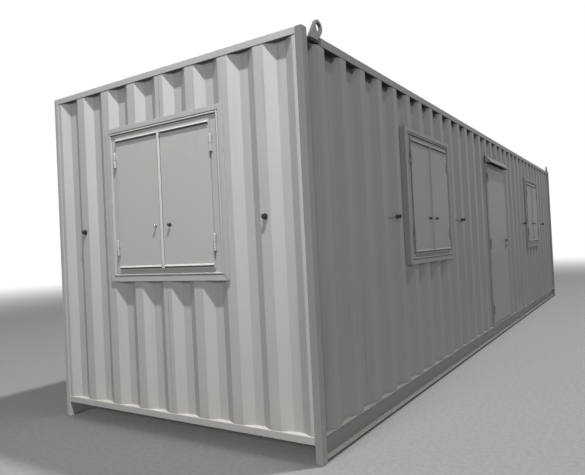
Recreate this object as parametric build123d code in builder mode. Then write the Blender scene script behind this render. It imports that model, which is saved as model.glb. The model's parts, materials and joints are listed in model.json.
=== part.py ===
"""Steel site cabin on a container frame: corrugated walls, shuttered windows and one door.

Millimetres, +Z up. The door is in the front wall, which faces -Y. The left end wall
faces -X and has a window. The origin is on the ground under the middle of the box that
holds the cabin and its fittings.
"""

import os

from build123d import *

os.makedirs("parts", exist_ok=True)

# Overall size
LENGTH = 9515
WIDTH = 2438
HEIGHT = 2590

# Corner posts
POST_X = 60
POST_Y = 50

# Base frame
BASE_TOP = 163
CHANNEL_HEIGHT = 143
CHANNEL_THICKNESS = 6
BASE_END_RAIL_HEIGHT = 50
BASE_END_RAIL_DEPTH = 50
JOIST_WIDTH = 50
JOIST_HEIGHT = 80
JOIST_SPACING = 600
DECK_THICKNESS = 18

# Top frame
TOP_SIDE_RAIL_HEIGHT = 55
TOP_END_RAIL_HEIGHT = 47
TOP_SIDE_RAIL_DEPTH = 60
TOP_END_RAIL_DEPTH = 50
TOP_SIDE_RAIL_DROP = 15
EYE_NOTCH_BEYOND_FOOT = 32
EYE_TIE_DEPTH = 15
EYE_SEAT_THICKNESS = 6

# Lifting eyes
EYE_THICKNESS = 20
EYE_FOOT_LENGTH = 100
EYE_FOOT_FROM_POST = 28
EYE_FOOT_BELOW_RAIL_TOP = 30
EYE_HEAD_RADIUS = 48
EYE_BORE_RADIUS = 28
EYE_HEAD_LEAN = 62
EYE_HEAD_HEIGHT = 88

# Wall sheets
SHEET_THICKNESS = 2
SHEET_SETBACK = 3
SHEET_DEPTH = 36
FLANK = 72
END_PITCH = 294.7
END_EDGE_FLAT = 24
END_RECESS_FLAT = 71
SIDE_PITCH = 289
SIDE_EDGE_FLAT = 51
SIDE_CREST_FLAT = 75
LEAST_EDGE_FLAT = 20

# Inner lining and roof
LINING_THICKNESS = 50
LINING_JOINT = 2
CEILING_THICKNESS = 95
ROOF_RIB_HEIGHT = 20
ROOF_RIB_PITCH = 300
ROOF_RIB_FLAT = 70
ROOF_RIB_FLANK = 30

# Window frames
WINDOW_WIDTH = 1160
WINDOW_HEIGHT = 1152
WINDOW_CENTRE_HEIGHT = 1663
END_WINDOW_RECESSES = 3.5
LEFT_WINDOW_PITCHES = 6.5
RIGHT_WINDOW_PITCHES = 24.5
BAND_WIDTH = 56
BAND_PROUD = 14
LIP_FACE = 2
LIP_THICKNESS = 4
LINER_THICKNESS = 4
SHEET_CLEARANCE = 2

# Shutter leaves
SHUTTER_SIDE_MARGIN = 113
SHUTTER_END_MARGIN = 80
SHUTTER_LIP_OVERLAP = 15
SHUTTER_FACE = 12
SHUTTER_PLATE = 4
SHUTTER_MEETING_GAP = 6
RIM_DEPTH = 20
RIM_THICKNESS = 4
RIM_CLEARANCE = 8
BAR_WIDTH = 24
BAR_HEIGHT = 11
BAR_INSET = 25
BAR_TAPER = 42

# Hinges
BARREL_RADIUS = 8
PIN_RADIUS = 4
PIN_CLEARANCE = 0.3
PIN_LENGTH = 46
BARREL_HALF_LENGTH = 60
BARREL_GAP = 1
TAB_THICKNESS = 6
SHUTTER_AXIS_MARGIN = 103
SHUTTER_AXIS_FACE = 18
SHUTTER_HINGE_RISE = 330
SHUTTER_HINGE_FALL = 325

# Knobs and catches
KNOB_BELOW_CENTRE = 183
KNOB_BASE_RADIUS = 13
KNOB_BASE_THICKNESS = 3
KNOB_STUD_RADIUS = 4
KNOB_STUD_LENGTH = 6
KNOB_HEAD_RADIUS = 11
KNOB_HEAD_LENGTH = 14
CATCH_PITCHES = 3
CATCH_BASE_RADIUS = 18
CATCH_BASE_THICKNESS = 3
CATCH_POST_RADIUS = 8
CATCH_HEAD_RADIUS = 16
CATCH_HEAD_LENGTH = 16
END_CATCH_FACE = 25
SIDE_CATCH_FACE = 60

# Glazed windows behind the shutters
SASH_WIDTH = 55
SASH_THICKNESS = 60
SASH_SETBACK = 30
MULLION_WIDTH = 60
GLASS_THICKNESS = 20

# Door
DOOR_FROM_LEFT = 4205
DOOR_OPENING_WIDTH = 1000
DOOR_HEAD_BELOW_TOP = 382
JAMB_WIDTH = 30
DOOR_SILL_HEIGHT = 25
DOOR_STOP_WIDTH = 15
DOOR_STOP_THICKNESS = 12
DOOR_THICKNESS = 40
DOOR_FACE = 2
DOOR_CLEARANCE = 7
DOOR_STOP_GAP = 6
DOOR_AXIS_FACE = 14
DOOR_LOW_HINGE_HEIGHT = 365
DOOR_MIDDLE_HINGE_HEIGHT = 1195
DOOR_TOP_HINGE_BELOW_HEAD = 173

# Door fittings
HANDLE_HEIGHT = 1193
HANDLE_FROM_EDGE = 75
ROSE_WIDTH = 34
ROSE_HEIGHT = 170
ROSE_THICKNESS = 4
LEVER_NECK_RADIUS = 7
LEVER_NECK_LENGTH = 22
LEVER_LENGTH = 80
LEVER_HEIGHT = 18
LEVER_THICKNESS = 10
LEVER_RISE = 38
LOCK_RADIUS = 13
LOCK_LENGTH = 8
LOCK_DROP = 37

# Rain hood over the door
HOOD_LENGTH = 1040
HOOD_REACH = 65
HOOD_BACK_HEIGHT = 87
HOOD_FRONT_HEIGHT = 16
HOOD_THICKNESS = 3
HOOD_GAP_OVER_DOOR = 14

# Small edge roundings
KNOB_FILLET = 4
CATCH_FILLET = 4
LEVER_FILLET = 4

# Places worked out from the sizes above
KNOB_LENGTH = KNOB_BASE_THICKNESS + KNOB_STUD_LENGTH + KNOB_HEAD_LENGTH
LEVER_REACH = ROSE_THICKNESS + LEVER_NECK_LENGTH + LEVER_THICKNESS
END_REACH = max(SHUTTER_FACE + KNOB_LENGTH, END_CATCH_FACE)
FRONT_REACH = max(SHUTTER_FACE + KNOB_LENGTH, SIDE_CATCH_FACE, HOOD_REACH, DOOR_FACE + LEVER_REACH)
X_LEFT = (END_REACH - LENGTH) / 2
X_RIGHT = X_LEFT + LENGTH
Y_FRONT = (FRONT_REACH - WIDTH) / 2
Y_BACK = Y_FRONT + WIDTH
X_MIDDLE = (X_LEFT + X_RIGHT) / 2
Y_MIDDLE = (Y_FRONT + Y_BACK) / 2
SIDE_RAIL_TOP = HEIGHT - TOP_SIDE_RAIL_DROP
SIDE_RAIL_UNDERSIDE = SIDE_RAIL_TOP - TOP_SIDE_RAIL_HEIGHT
END_RAIL_UNDERSIDE = HEIGHT - TOP_END_RAIL_HEIGHT
CEILING_UNDERSIDE = SIDE_RAIL_UNDERSIDE - CEILING_THICKNESS
DOOR_HEAD = HEIGHT - DOOR_HEAD_BELOW_TOP
DOOR_TOP_HINGE_HEIGHT = DOOR_HEAD - DOOR_TOP_HINGE_BELOW_HEAD
DOOR_HINGE_HEIGHTS = (DOOR_LOW_HINGE_HEIGHT, DOOR_MIDDLE_HINGE_HEIGHT, DOOR_TOP_HINGE_HEIGHT)
LENGTH_BETWEEN_POSTS = LENGTH - 2 * POST_X
WIDTH_BETWEEN_POSTS = WIDTH - 2 * POST_Y
DECK_UNDERSIDE = BASE_TOP - DECK_THICKNESS
EYE_NOTCH_LENGTH = EYE_FOOT_FROM_POST + EYE_FOOT_LENGTH + EYE_NOTCH_BEYOND_FOOT
CREST_FACE = -SHEET_SETBACK
VALLEY_FACE = -SHEET_SETBACK - SHEET_DEPTH
END_RECESS_WIDTH = END_RECESS_FLAT + 2 * FLANK
END_FIRST_RECESS = POST_Y + END_EDGE_FLAT + END_RECESS_WIDTH / 2
END_LAST_RECESS = WIDTH - POST_Y - LEAST_EDGE_FLAT - END_RECESS_WIDTH / 2
SIDE_CREST_WIDTH = SIDE_CREST_FLAT + 2 * FLANK
SIDE_FIRST_CREST = POST_X + SIDE_EDGE_FLAT + SIDE_CREST_WIDTH / 2
SIDE_LAST_CREST = LENGTH - POST_X - LEAST_EDGE_FLAT - SIDE_CREST_WIDTH / 2

# The four walls as horizontal planes: x runs along the wall, y runs inwards
FRONT = Plane(origin=(X_LEFT, Y_FRONT, 0), x_dir=(1, 0, 0), z_dir=(0, 0, 1))
RIGHT = Plane(origin=(X_RIGHT, Y_FRONT, 0), x_dir=(0, 1, 0), z_dir=(0, 0, 1))
BACK = Plane(origin=(X_RIGHT, Y_BACK, 0), x_dir=(-1, 0, 0), z_dir=(0, 0, 1))
LEFT = Plane(origin=(X_LEFT, Y_BACK, 0), x_dir=(0, -1, 0), z_dir=(0, 0, 1))

# Middles of the openings, measured along their walls
END_WINDOW_ALONG = WIDTH - END_FIRST_RECESS - END_WINDOW_RECESSES * END_PITCH
LEFT_WINDOW_ALONG = SIDE_FIRST_CREST + LEFT_WINDOW_PITCHES * SIDE_PITCH
RIGHT_WINDOW_ALONG = SIDE_FIRST_CREST + RIGHT_WINDOW_PITCHES * SIDE_PITCH
DOOR_ALONG = DOOR_FROM_LEFT + DOOR_OPENING_WIDTH / 2


def upright(wall, along, height):
    """Plane flat on a wall's outer face: x to the right, y up, z out of the wall."""
    origin = wall.from_local_coords(Vector(along, 0, height))
    return Plane(origin=origin, x_dir=wall.x_dir, z_dir=-wall.y_dir)


END_WINDOW = upright(LEFT, END_WINDOW_ALONG, WINDOW_CENTRE_HEIGHT)
LEFT_WINDOW = upright(FRONT, LEFT_WINDOW_ALONG, WINDOW_CENTRE_HEIGHT)
RIGHT_WINDOW = upright(FRONT, RIGHT_WINDOW_ALONG, WINDOW_CENTRE_HEIGHT)

# Each window's plane, lining depth, catch distance, and catch foot and face levels
WINDOWS = {
    "end_window": (END_WINDOW, POST_X, CATCH_PITCHES * END_PITCH, CREST_FACE, END_CATCH_FACE),
    "left_window": (LEFT_WINDOW, POST_Y, CATCH_PITCHES * SIDE_PITCH, VALLEY_FACE, SIDE_CATCH_FACE),
    "right_window": (RIGHT_WINDOW, POST_Y, CATCH_PITCHES * SIDE_PITCH, VALLEY_FACE, SIDE_CATCH_FACE),
}

# Window sizes worked out from the margins
BAND_INNER_WIDTH = WINDOW_WIDTH - 2 * BAND_WIDTH
BAND_INNER_HEIGHT = WINDOW_HEIGHT - 2 * BAND_WIDTH
SHUTTER_FIELD_WIDTH = WINDOW_WIDTH - 2 * SHUTTER_SIDE_MARGIN
SHUTTER_HEIGHT = WINDOW_HEIGHT - 2 * SHUTTER_END_MARGIN
SHUTTER_WIDTH = (SHUTTER_FIELD_WIDTH - SHUTTER_MEETING_GAP) / 2
OPENING_WIDTH = SHUTTER_FIELD_WIDTH - 2 * SHUTTER_LIP_OVERLAP
OPENING_HEIGHT = SHUTTER_HEIGHT - 2 * SHUTTER_LIP_OVERLAP
CUTOUT_WIDTH = OPENING_WIDTH + 2 * LINER_THICKNESS + 2 * SHEET_CLEARANCE
CUTOUT_HEIGHT = OPENING_HEIGHT + 2 * LINER_THICKNESS + 2 * SHEET_CLEARANCE
CUTOUT_BOTTOM = WINDOW_CENTRE_HEIGHT - CUTOUT_HEIGHT / 2
SHUTTER_AXIS = WINDOW_WIDTH / 2 - SHUTTER_AXIS_MARGIN
DOOR_CUTOUT_WIDTH = DOOR_OPENING_WIDTH + 2 * SHEET_CLEARANCE
DOOR_CUTOUT_TOP = DOOR_HEAD + SHEET_CLEARANCE
WINDOW_CUTOUT = (CUTOUT_WIDTH, CUTOUT_BOTTOM, CUTOUT_BOTTOM + CUTOUT_HEIGHT)
FRONT_CUTOUTS = (
    (LEFT_WINDOW_ALONG, *WINDOW_CUTOUT),
    (DOOR_ALONG, DOOR_CUTOUT_WIDTH, BASE_TOP, DOOR_CUTOUT_TOP),
    (RIGHT_WINDOW_ALONG, *WINDOW_CUTOUT),
)
LEFT_CUTOUTS = ((END_WINDOW_ALONG, *WINDOW_CUTOUT),)


def save(piece, name):
    """Label a finished piece and write its file."""
    piece.part.label = name
    export_step(piece.part, f"parts/{name}.step")


def even_places(first, last, spacing):
    """Evenly spread places from first to last, no further apart than the spacing."""
    gaps = max(1, round((last - first) / spacing))
    return [first + (last - first) * step / gaps for step in range(gaps + 1)]


# Corner posts
POSTS = {
    "corner_post_front_left": (X_LEFT + POST_X / 2, Y_FRONT + POST_Y / 2),
    "corner_post_front_right": (X_RIGHT - POST_X / 2, Y_FRONT + POST_Y / 2),
    "corner_post_back_left": (X_LEFT + POST_X / 2, Y_BACK - POST_Y / 2),
    "corner_post_back_right": (X_RIGHT - POST_X / 2, Y_BACK - POST_Y / 2),
}
for post_name, (post_x, post_y) in POSTS.items():
    with BuildPart() as post:
        with BuildSketch():
            with Locations((post_x, post_y)):
                Rectangle(POST_X, POST_Y)
        extrude(amount=HEIGHT)
    save(post, post_name)

# Base side rails: channels with their flanges outwards
with BuildPart() as base_side_rails:
    for wall in (FRONT, BACK):
        corner = wall.from_local_coords(Vector(POST_X, 0, BASE_TOP))
        with BuildSketch(Plane(origin=corner, x_dir=wall.y_dir, z_dir=wall.x_dir)):
            with Locations((POST_Y / 2, -CHANNEL_HEIGHT / 2)):
                Rectangle(POST_Y, CHANNEL_HEIGHT)
            with Locations((POST_Y / 2 - CHANNEL_THICKNESS, -CHANNEL_HEIGHT / 2)):
                Rectangle(POST_Y, CHANNEL_HEIGHT - 2 * CHANNEL_THICKNESS, mode=Mode.SUBTRACT)
        extrude(amount=LENGTH_BETWEEN_POSTS)
save(base_side_rails, "base_side_rails")

# Base end rails
with BuildPart() as base_end_rails:
    with BuildSketch(Plane.XY.offset(BASE_TOP - BASE_END_RAIL_HEIGHT)):
        with Locations(
            (X_LEFT + BASE_END_RAIL_DEPTH / 2, Y_MIDDLE),
            (X_RIGHT - BASE_END_RAIL_DEPTH / 2, Y_MIDDLE),
        ):
            Rectangle(BASE_END_RAIL_DEPTH, WIDTH_BETWEEN_POSTS)
    extrude(amount=BASE_END_RAIL_HEIGHT)
save(base_end_rails, "base_end_rails")

# Floor joists between the side rails
FIRST_JOIST = X_LEFT + BASE_END_RAIL_DEPTH + JOIST_SPACING / 2
LAST_JOIST = X_RIGHT - BASE_END_RAIL_DEPTH - JOIST_SPACING / 2
with BuildPart() as floor_joists:
    with BuildSketch(Plane.XY.offset(DECK_UNDERSIDE - JOIST_HEIGHT)):
        with Locations(*[(x, Y_MIDDLE) for x in even_places(FIRST_JOIST, LAST_JOIST, JOIST_SPACING)]):
            Rectangle(JOIST_WIDTH, WIDTH_BETWEEN_POSTS)
    extrude(amount=JOIST_HEIGHT)
save(floor_joists, "floor_joists")

# Floor deck
with BuildPart() as floor_deck:
    with BuildSketch(Plane.XY.offset(DECK_UNDERSIDE)):
        with Locations((X_MIDDLE, Y_MIDDLE)):
            Rectangle(LENGTH - 2 * BASE_END_RAIL_DEPTH, WIDTH_BETWEEN_POSTS)
    extrude(amount=DECK_THICKNESS)
save(floor_deck, "floor_deck")

# Top side rails, cut back at both ends to a thin tie under a seat for the lifting eye
EYE_SEAT_LEVEL = SIDE_RAIL_TOP - EYE_FOOT_BELOW_RAIL_TOP
EYE_SEAT_PLACES = (POST_X + EYE_NOTCH_LENGTH / 2, LENGTH - POST_X - EYE_NOTCH_LENGTH / 2)
with BuildPart() as top_side_rails:
    for wall in (FRONT, BACK):
        with BuildSketch(wall.offset(SIDE_RAIL_UNDERSIDE)):
            with Locations((LENGTH / 2, TOP_SIDE_RAIL_DEPTH / 2)):
                Rectangle(LENGTH_BETWEEN_POSTS - 2 * EYE_NOTCH_LENGTH, TOP_SIDE_RAIL_DEPTH)
        extrude(amount=TOP_SIDE_RAIL_HEIGHT)
        with BuildSketch(wall.offset(SIDE_RAIL_UNDERSIDE)):
            with Locations(*[(along, TOP_SIDE_RAIL_DEPTH - EYE_TIE_DEPTH / 2) for along in EYE_SEAT_PLACES]):
                Rectangle(EYE_NOTCH_LENGTH, EYE_TIE_DEPTH)
        extrude(amount=EYE_SEAT_LEVEL - EYE_SEAT_THICKNESS - SIDE_RAIL_UNDERSIDE)
        with BuildSketch(wall.offset(EYE_SEAT_LEVEL - EYE_SEAT_THICKNESS)):
            with Locations(*[(along, TOP_SIDE_RAIL_DEPTH / 2) for along in EYE_SEAT_PLACES]):
                Rectangle(EYE_NOTCH_LENGTH, TOP_SIDE_RAIL_DEPTH)
        extrude(amount=EYE_SEAT_THICKNESS)
save(top_side_rails, "top_side_rails")

# Top end rails
with BuildPart() as top_end_rails:
    with BuildSketch(Plane.XY.offset(END_RAIL_UNDERSIDE)):
        with Locations(
            (X_LEFT + TOP_END_RAIL_DEPTH / 2, Y_MIDDLE),
            (X_RIGHT - TOP_END_RAIL_DEPTH / 2, Y_MIDDLE),
        ):
            Rectangle(TOP_END_RAIL_DEPTH, WIDTH_BETWEEN_POSTS)
    extrude(amount=TOP_END_RAIL_HEIGHT)
save(top_end_rails, "top_end_rails")

# Lifting eyes: a leaning plate with a round head and bore at each corner
EYE_FOOT_START = POST_X + EYE_FOOT_FROM_POST
EYE_CORNERS = (
    (X_LEFT + EYE_FOOT_START, Y_FRONT, 1),
    (X_RIGHT - EYE_FOOT_START, Y_FRONT, -1),
    (X_LEFT + EYE_FOOT_START, Y_BACK - EYE_THICKNESS, 1),
    (X_RIGHT - EYE_FOOT_START, Y_BACK - EYE_THICKNESS, -1),
)
with BuildPart() as lifting_eyes:
    for eye_x, eye_y, inwards in EYE_CORNERS:
        eye_origin = (eye_x, eye_y + EYE_THICKNESS / 2, EYE_SEAT_LEVEL)
        eye_plane = Plane(origin=eye_origin, x_dir=(inwards, 0, 0), z_dir=(0, -inwards, 0))
        head = (EYE_FOOT_LENGTH / 2 + EYE_HEAD_LEAN, EYE_HEAD_HEIGHT)
        with BuildSketch(eye_plane) as eye_outline:
            with Locations((EYE_FOOT_LENGTH / 2, EYE_FOOT_BELOW_RAIL_TOP / 2)):
                Rectangle(EYE_FOOT_LENGTH, EYE_FOOT_BELOW_RAIL_TOP)
            with Locations(head):
                Circle(EYE_HEAD_RADIUS)
            make_hull()
            with Locations(head):
                Circle(EYE_BORE_RADIUS, mode=Mode.SUBTRACT)
        extrude(amount=EYE_THICKNESS / 2, both=True)
save(lifting_eyes, "lifting_eyes")


def zigzag(start, end, centres, flat, flank, base, bump):
    """Corners of a trapezoid wave from start to end, with a bump at each centre."""
    corners = [(start, base)]
    for centre in centres:
        corners.append((centre - flat / 2 - flank, base))
        corners.append((centre - flat / 2, bump))
        corners.append((centre + flat / 2, bump))
        corners.append((centre + flat / 2 + flank, base))
    corners.append((end, base))
    return corners


def sheet_outline(corners, thickness):
    """Closed outline of a folded sheet whose outer face has these corners."""
    inner = [(along, depth + thickness) for along, depth in reversed(corners)]
    return corners + inner + corners[:1]


def repeat_places(first, last, pitch):
    """Places from first on, one pitch apart, up to last."""
    return [first + pitch * step for step in range(int((last - first) / pitch) + 1)]


SIDE_CRESTS = repeat_places(SIDE_FIRST_CREST, SIDE_LAST_CREST, SIDE_PITCH)
END_RECESSES = repeat_places(END_FIRST_RECESS, END_LAST_RECESS, END_PITCH)
SIDE_WAVE = zigzag(
    POST_X, LENGTH - POST_X, SIDE_CRESTS, SIDE_CREST_FLAT, FLANK, -VALLEY_FACE, -CREST_FACE
)
RIGHT_WAVE = zigzag(
    POST_Y, WIDTH - POST_Y, END_RECESSES, END_RECESS_FLAT, FLANK, -CREST_FACE, -VALLEY_FACE
)
LEFT_WAVE = [(WIDTH - along, depth) for along, depth in reversed(RIGHT_WAVE)]
BACK_WAVE = [(LENGTH - along, depth) for along, depth in reversed(SIDE_WAVE)]

# Wall sheets, stood on the base rails and cut out for the windows and the door
SHEETS = {
    "front_wall_sheet": (FRONT, SIDE_WAVE, SIDE_RAIL_UNDERSIDE, FRONT_CUTOUTS),
    "back_wall_sheet": (BACK, BACK_WAVE, SIDE_RAIL_UNDERSIDE, ()),
    "left_wall_sheet": (LEFT, LEFT_WAVE, END_RAIL_UNDERSIDE, LEFT_CUTOUTS),
    "right_wall_sheet": (RIGHT, RIGHT_WAVE, END_RAIL_UNDERSIDE, ()),
}
for sheet_name, (wall, wave, sheet_top, cutouts) in SHEETS.items():
    with BuildPart() as wall_sheet:
        with BuildSketch(wall.offset(BASE_TOP)):
            with BuildLine():
                Polyline(*sheet_outline(wave, SHEET_THICKNESS))
            make_face()
        extrude(amount=sheet_top - BASE_TOP)
        for along, width, bottom, top in cutouts:
            with BuildSketch(wall.offset(bottom)):
                with Locations((along, -VALLEY_FACE / 2)):
                    Rectangle(width, -2 * VALLEY_FACE)
            extrude(amount=top - bottom, mode=Mode.SUBTRACT)
    save(wall_sheet, sheet_name)


def lining_panels(start, end, cutouts):
    """Upright panels between the openings and short ones over and under each opening."""
    panels = []
    edge = start
    for along, width, bottom, top in cutouts:
        panels.append((edge, along - width / 2, BASE_TOP, CEILING_UNDERSIDE))
        inner = (along - width / 2 + LINING_JOINT, along + width / 2 - LINING_JOINT)
        if bottom > BASE_TOP:
            panels.append((*inner, BASE_TOP, bottom))
        panels.append((*inner, top, CEILING_UNDERSIDE))
        edge = along + width / 2
    panels.append((edge, end, BASE_TOP, CEILING_UNDERSIDE))
    return panels


# Insulated lining of each wall, behind the posts
SIDE_LINING_INNER = POST_Y + LINING_THICKNESS
END_LINING_INNER = POST_X + LINING_THICKNESS
LININGS = {
    "front_wall_lining": (FRONT, POST_Y, POST_X, LENGTH - POST_X, FRONT_CUTOUTS),
    "back_wall_lining": (BACK, POST_Y, POST_X, LENGTH - POST_X, ()),
    "left_wall_lining": (LEFT, POST_X, SIDE_LINING_INNER, WIDTH - SIDE_LINING_INNER, LEFT_CUTOUTS),
    "right_wall_lining": (RIGHT, POST_X, SIDE_LINING_INNER, WIDTH - SIDE_LINING_INNER, ()),
}
for lining_name, (wall, depth, start, end, cutouts) in LININGS.items():
    with BuildPart() as lining:
        for panel_start, panel_end, bottom, top in lining_panels(start, end, cutouts):
            with BuildSketch(wall.offset(bottom)):
                with Locations(((panel_start + panel_end) / 2, depth + LINING_THICKNESS / 2)):
                    Rectangle(panel_end - panel_start, LINING_THICKNESS)
            extrude(amount=top - bottom)
    save(lining, lining_name)

# Insulated ceiling
with BuildPart() as ceiling:
    with BuildSketch(Plane.XY.offset(CEILING_UNDERSIDE)):
        with Locations((X_MIDDLE, Y_MIDDLE)):
            Rectangle(LENGTH_BETWEEN_POSTS, WIDTH_BETWEEN_POSTS)
    extrude(amount=CEILING_THICKNESS)
save(ceiling, "ceiling")

# Roof sheet with ribs across the cabin, between the top rails
ROOF_END = LENGTH - 2 * TOP_END_RAIL_DEPTH
ROOF_RIBS = even_places(ROOF_RIB_PITCH / 2, ROOF_END - ROOF_RIB_PITCH / 2, ROOF_RIB_PITCH)
ROOF_WAVE = zigzag(0, ROOF_END, ROOF_RIBS, ROOF_RIB_FLAT, ROOF_RIB_FLANK, 0, ROOF_RIB_HEIGHT)
with BuildPart() as roof_sheet:
    roof_corner = (X_LEFT + TOP_END_RAIL_DEPTH, Y_BACK - TOP_SIDE_RAIL_DEPTH, SIDE_RAIL_UNDERSIDE)
    with BuildSketch(Plane(origin=roof_corner, x_dir=(1, 0, 0), z_dir=(0, -1, 0))):
        with BuildLine():
            Polyline(*sheet_outline(ROOF_WAVE, SHEET_THICKNESS))
        make_face()
    extrude(amount=WIDTH - 2 * TOP_SIDE_RAIL_DEPTH)
save(roof_sheet, "roof_sheet")


def hinge_plane(plane, axis_along, axis_face, centre_height):
    """Horizontal plane at the middle of a hinge, centred on its axis."""
    origin = plane.from_local_coords(Vector(axis_along, centre_height, axis_face))
    return Plane(origin=origin, x_dir=plane.x_dir, z_dir=(0, 0, 1))


# Window frames: a proud band, a stepped lip and a liner through the wall
for window_name, (window, lining_depth, *_) in WINDOWS.items():
    with BuildPart() as window_frame:
        with BuildSketch(window.offset(CREST_FACE)):
            Rectangle(WINDOW_WIDTH, WINDOW_HEIGHT)
            Rectangle(BAND_INNER_WIDTH, BAND_INNER_HEIGHT, mode=Mode.SUBTRACT)
        extrude(amount=BAND_PROUD - CREST_FACE)
        with BuildSketch(window.offset(LIP_FACE - LIP_THICKNESS)):
            Rectangle(BAND_INNER_WIDTH, BAND_INNER_HEIGHT)
            Rectangle(OPENING_WIDTH, OPENING_HEIGHT, mode=Mode.SUBTRACT)
        extrude(amount=LIP_THICKNESS)
        with BuildSketch(window.offset(-lining_depth - LINING_THICKNESS)):
            Rectangle(OPENING_WIDTH + 2 * LINER_THICKNESS, OPENING_HEIGHT + 2 * LINER_THICKNESS)
            Rectangle(OPENING_WIDTH, OPENING_HEIGHT, mode=Mode.SUBTRACT)
        extrude(amount=lining_depth + LINING_THICKNESS + LIP_FACE)
    save(window_frame, f"{window_name}_frame")

# Glazed windows behind the shutters: a frame with a mullion, and two panes each
PANE_WIDTH = (OPENING_WIDTH - 2 * SASH_WIDTH - MULLION_WIDTH) / 2
PANE_HEIGHT = OPENING_HEIGHT - 2 * SASH_WIDTH
PANE_CENTRE = (MULLION_WIDTH + PANE_WIDTH) / 2
with BuildPart() as window_sashes:
    for window, *_ in WINDOWS.values():
        with BuildSketch(window.offset(-SASH_SETBACK - SASH_THICKNESS)):
            Rectangle(OPENING_WIDTH, OPENING_HEIGHT)
            with Locations((-PANE_CENTRE, 0), (PANE_CENTRE, 0)):
                Rectangle(PANE_WIDTH, PANE_HEIGHT, mode=Mode.SUBTRACT)
        extrude(amount=SASH_THICKNESS)
save(window_sashes, "window_sashes")

with BuildPart() as window_glass:
    for window, *_ in WINDOWS.values():
        with BuildSketch(window.offset(-SASH_SETBACK - (SASH_THICKNESS + GLASS_THICKNESS) / 2)):
            with Locations((-PANE_CENTRE, 0), (PANE_CENTRE, 0)):
                Rectangle(PANE_WIDTH, PANE_HEIGHT)
        extrude(amount=GLASS_THICKNESS)
save(window_glass, "window_glass")

# Shutters: a plate with a rim behind, ridge bars in front and the upper hinge barrels
HINGE_LEVELS = (SHUTTER_HINGE_RISE, -SHUTTER_HINGE_FALL)
SHUTTER_RIM_OUTER = (SHUTTER_FIELD_WIDTH - 2 * SHUTTER_LIP_OVERLAP) / 2 - RIM_CLEARANCE
RIM_HEIGHT = OPENING_HEIGHT - 2 * RIM_CLEARANCE
RIM_WIDTH = SHUTTER_RIM_OUTER - SHUTTER_MEETING_GAP / 2 - RIM_CLEARANCE
RIM_CENTRE = SHUTTER_MEETING_GAP / 2 + RIM_CLEARANCE + RIM_WIDTH / 2
SHUTTER_CENTRE = (SHUTTER_MEETING_GAP + SHUTTER_WIDTH) / 2
BAR_LEVEL = SHUTTER_HEIGHT / 2 - BAR_INSET
STRIP_CENTRE = (SHUTTER_MEETING_GAP + BAR_WIDTH) / 2
TAB_REACH = SHUTTER_AXIS_MARGIN - SHUTTER_SIDE_MARGIN
SIDES = {"left": -1, "right": 1}
for window_name, (window, _, catch_distance, *_) in WINDOWS.items():
    for side_name, side in SIDES.items():
        with BuildPart() as shutter:
            with BuildSketch(window.offset(SHUTTER_FACE - SHUTTER_PLATE)):
                with Locations((side * SHUTTER_CENTRE, 0)):
                    Rectangle(SHUTTER_WIDTH, SHUTTER_HEIGHT)
            extrude(amount=SHUTTER_PLATE)
            with BuildSketch(window.offset(SHUTTER_FACE - SHUTTER_PLATE - RIM_DEPTH)):
                with Locations((side * RIM_CENTRE, 0)):
                    Rectangle(RIM_WIDTH, RIM_HEIGHT)
                    Rectangle(
                        RIM_WIDTH - 2 * RIM_THICKNESS,
                        RIM_HEIGHT - 2 * RIM_THICKNESS,
                        mode=Mode.SUBTRACT,
                    )
            extrude(amount=RIM_DEPTH)
            with BuildSketch(window.offset(SHUTTER_FACE)):
                with Locations((side * SHUTTER_CENTRE, BAR_LEVEL), (side * SHUTTER_CENTRE, -BAR_LEVEL)):
                    Rectangle(SHUTTER_WIDTH, BAR_WIDTH)
                if side_name == "left":
                    with Locations((side * STRIP_CENTRE, 0)):
                        Rectangle(BAR_WIDTH, 2 * BAR_LEVEL + BAR_WIDTH)
            extrude(amount=BAR_HEIGHT, taper=BAR_TAPER)
            for level in HINGE_LEVELS:
                barrel = hinge_plane(window, side * SHUTTER_AXIS, SHUTTER_AXIS_FACE, level)
                with BuildSketch(barrel.offset(BARREL_GAP / 2)):
                    Circle(BARREL_RADIUS)
                    with Locations((side * TAB_REACH / 2, SHUTTER_AXIS_FACE - SHUTTER_FACE + SHUTTER_PLATE / 2)):
                        Rectangle(-TAB_REACH * 2, SHUTTER_PLATE)
                extrude(amount=BARREL_HALF_LENGTH - BARREL_GAP / 2)
                with BuildSketch(barrel.offset(BARREL_GAP / 2)):
                    Circle(PIN_RADIUS + PIN_CLEARANCE)
                extrude(amount=PIN_LENGTH + PIN_CLEARANCE, mode=Mode.SUBTRACT)
        save(shutter, f"{window_name}_{side_name}_shutter")

        knob_along = side * (2 * SHUTTER_AXIS - catch_distance)
        with BuildPart() as knob:
            with BuildSketch(window.offset(SHUTTER_FACE)):
                with Locations((knob_along, -KNOB_BELOW_CENTRE)):
                    Circle(KNOB_BASE_RADIUS)
            extrude(amount=KNOB_BASE_THICKNESS)
            with BuildSketch(window.offset(SHUTTER_FACE + KNOB_BASE_THICKNESS)):
                with Locations((knob_along, -KNOB_BELOW_CENTRE)):
                    Circle(KNOB_STUD_RADIUS)
            extrude(amount=KNOB_STUD_LENGTH)
            with BuildSketch(window.offset(SHUTTER_FACE + KNOB_BASE_THICKNESS + KNOB_STUD_LENGTH)):
                with Locations((knob_along, -KNOB_BELOW_CENTRE)):
                    Circle(KNOB_HEAD_RADIUS)
            extrude(amount=KNOB_HEAD_LENGTH)
            head_rims = knob.edges().filter_by(GeomType.CIRCLE).filter_by(
                lambda edge: abs(edge.radius - KNOB_HEAD_RADIUS) < PIN_CLEARANCE
            )
            fillet(head_rims, KNOB_FILLET)
        save(knob, f"{window_name}_{side_name}_knob")

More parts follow.
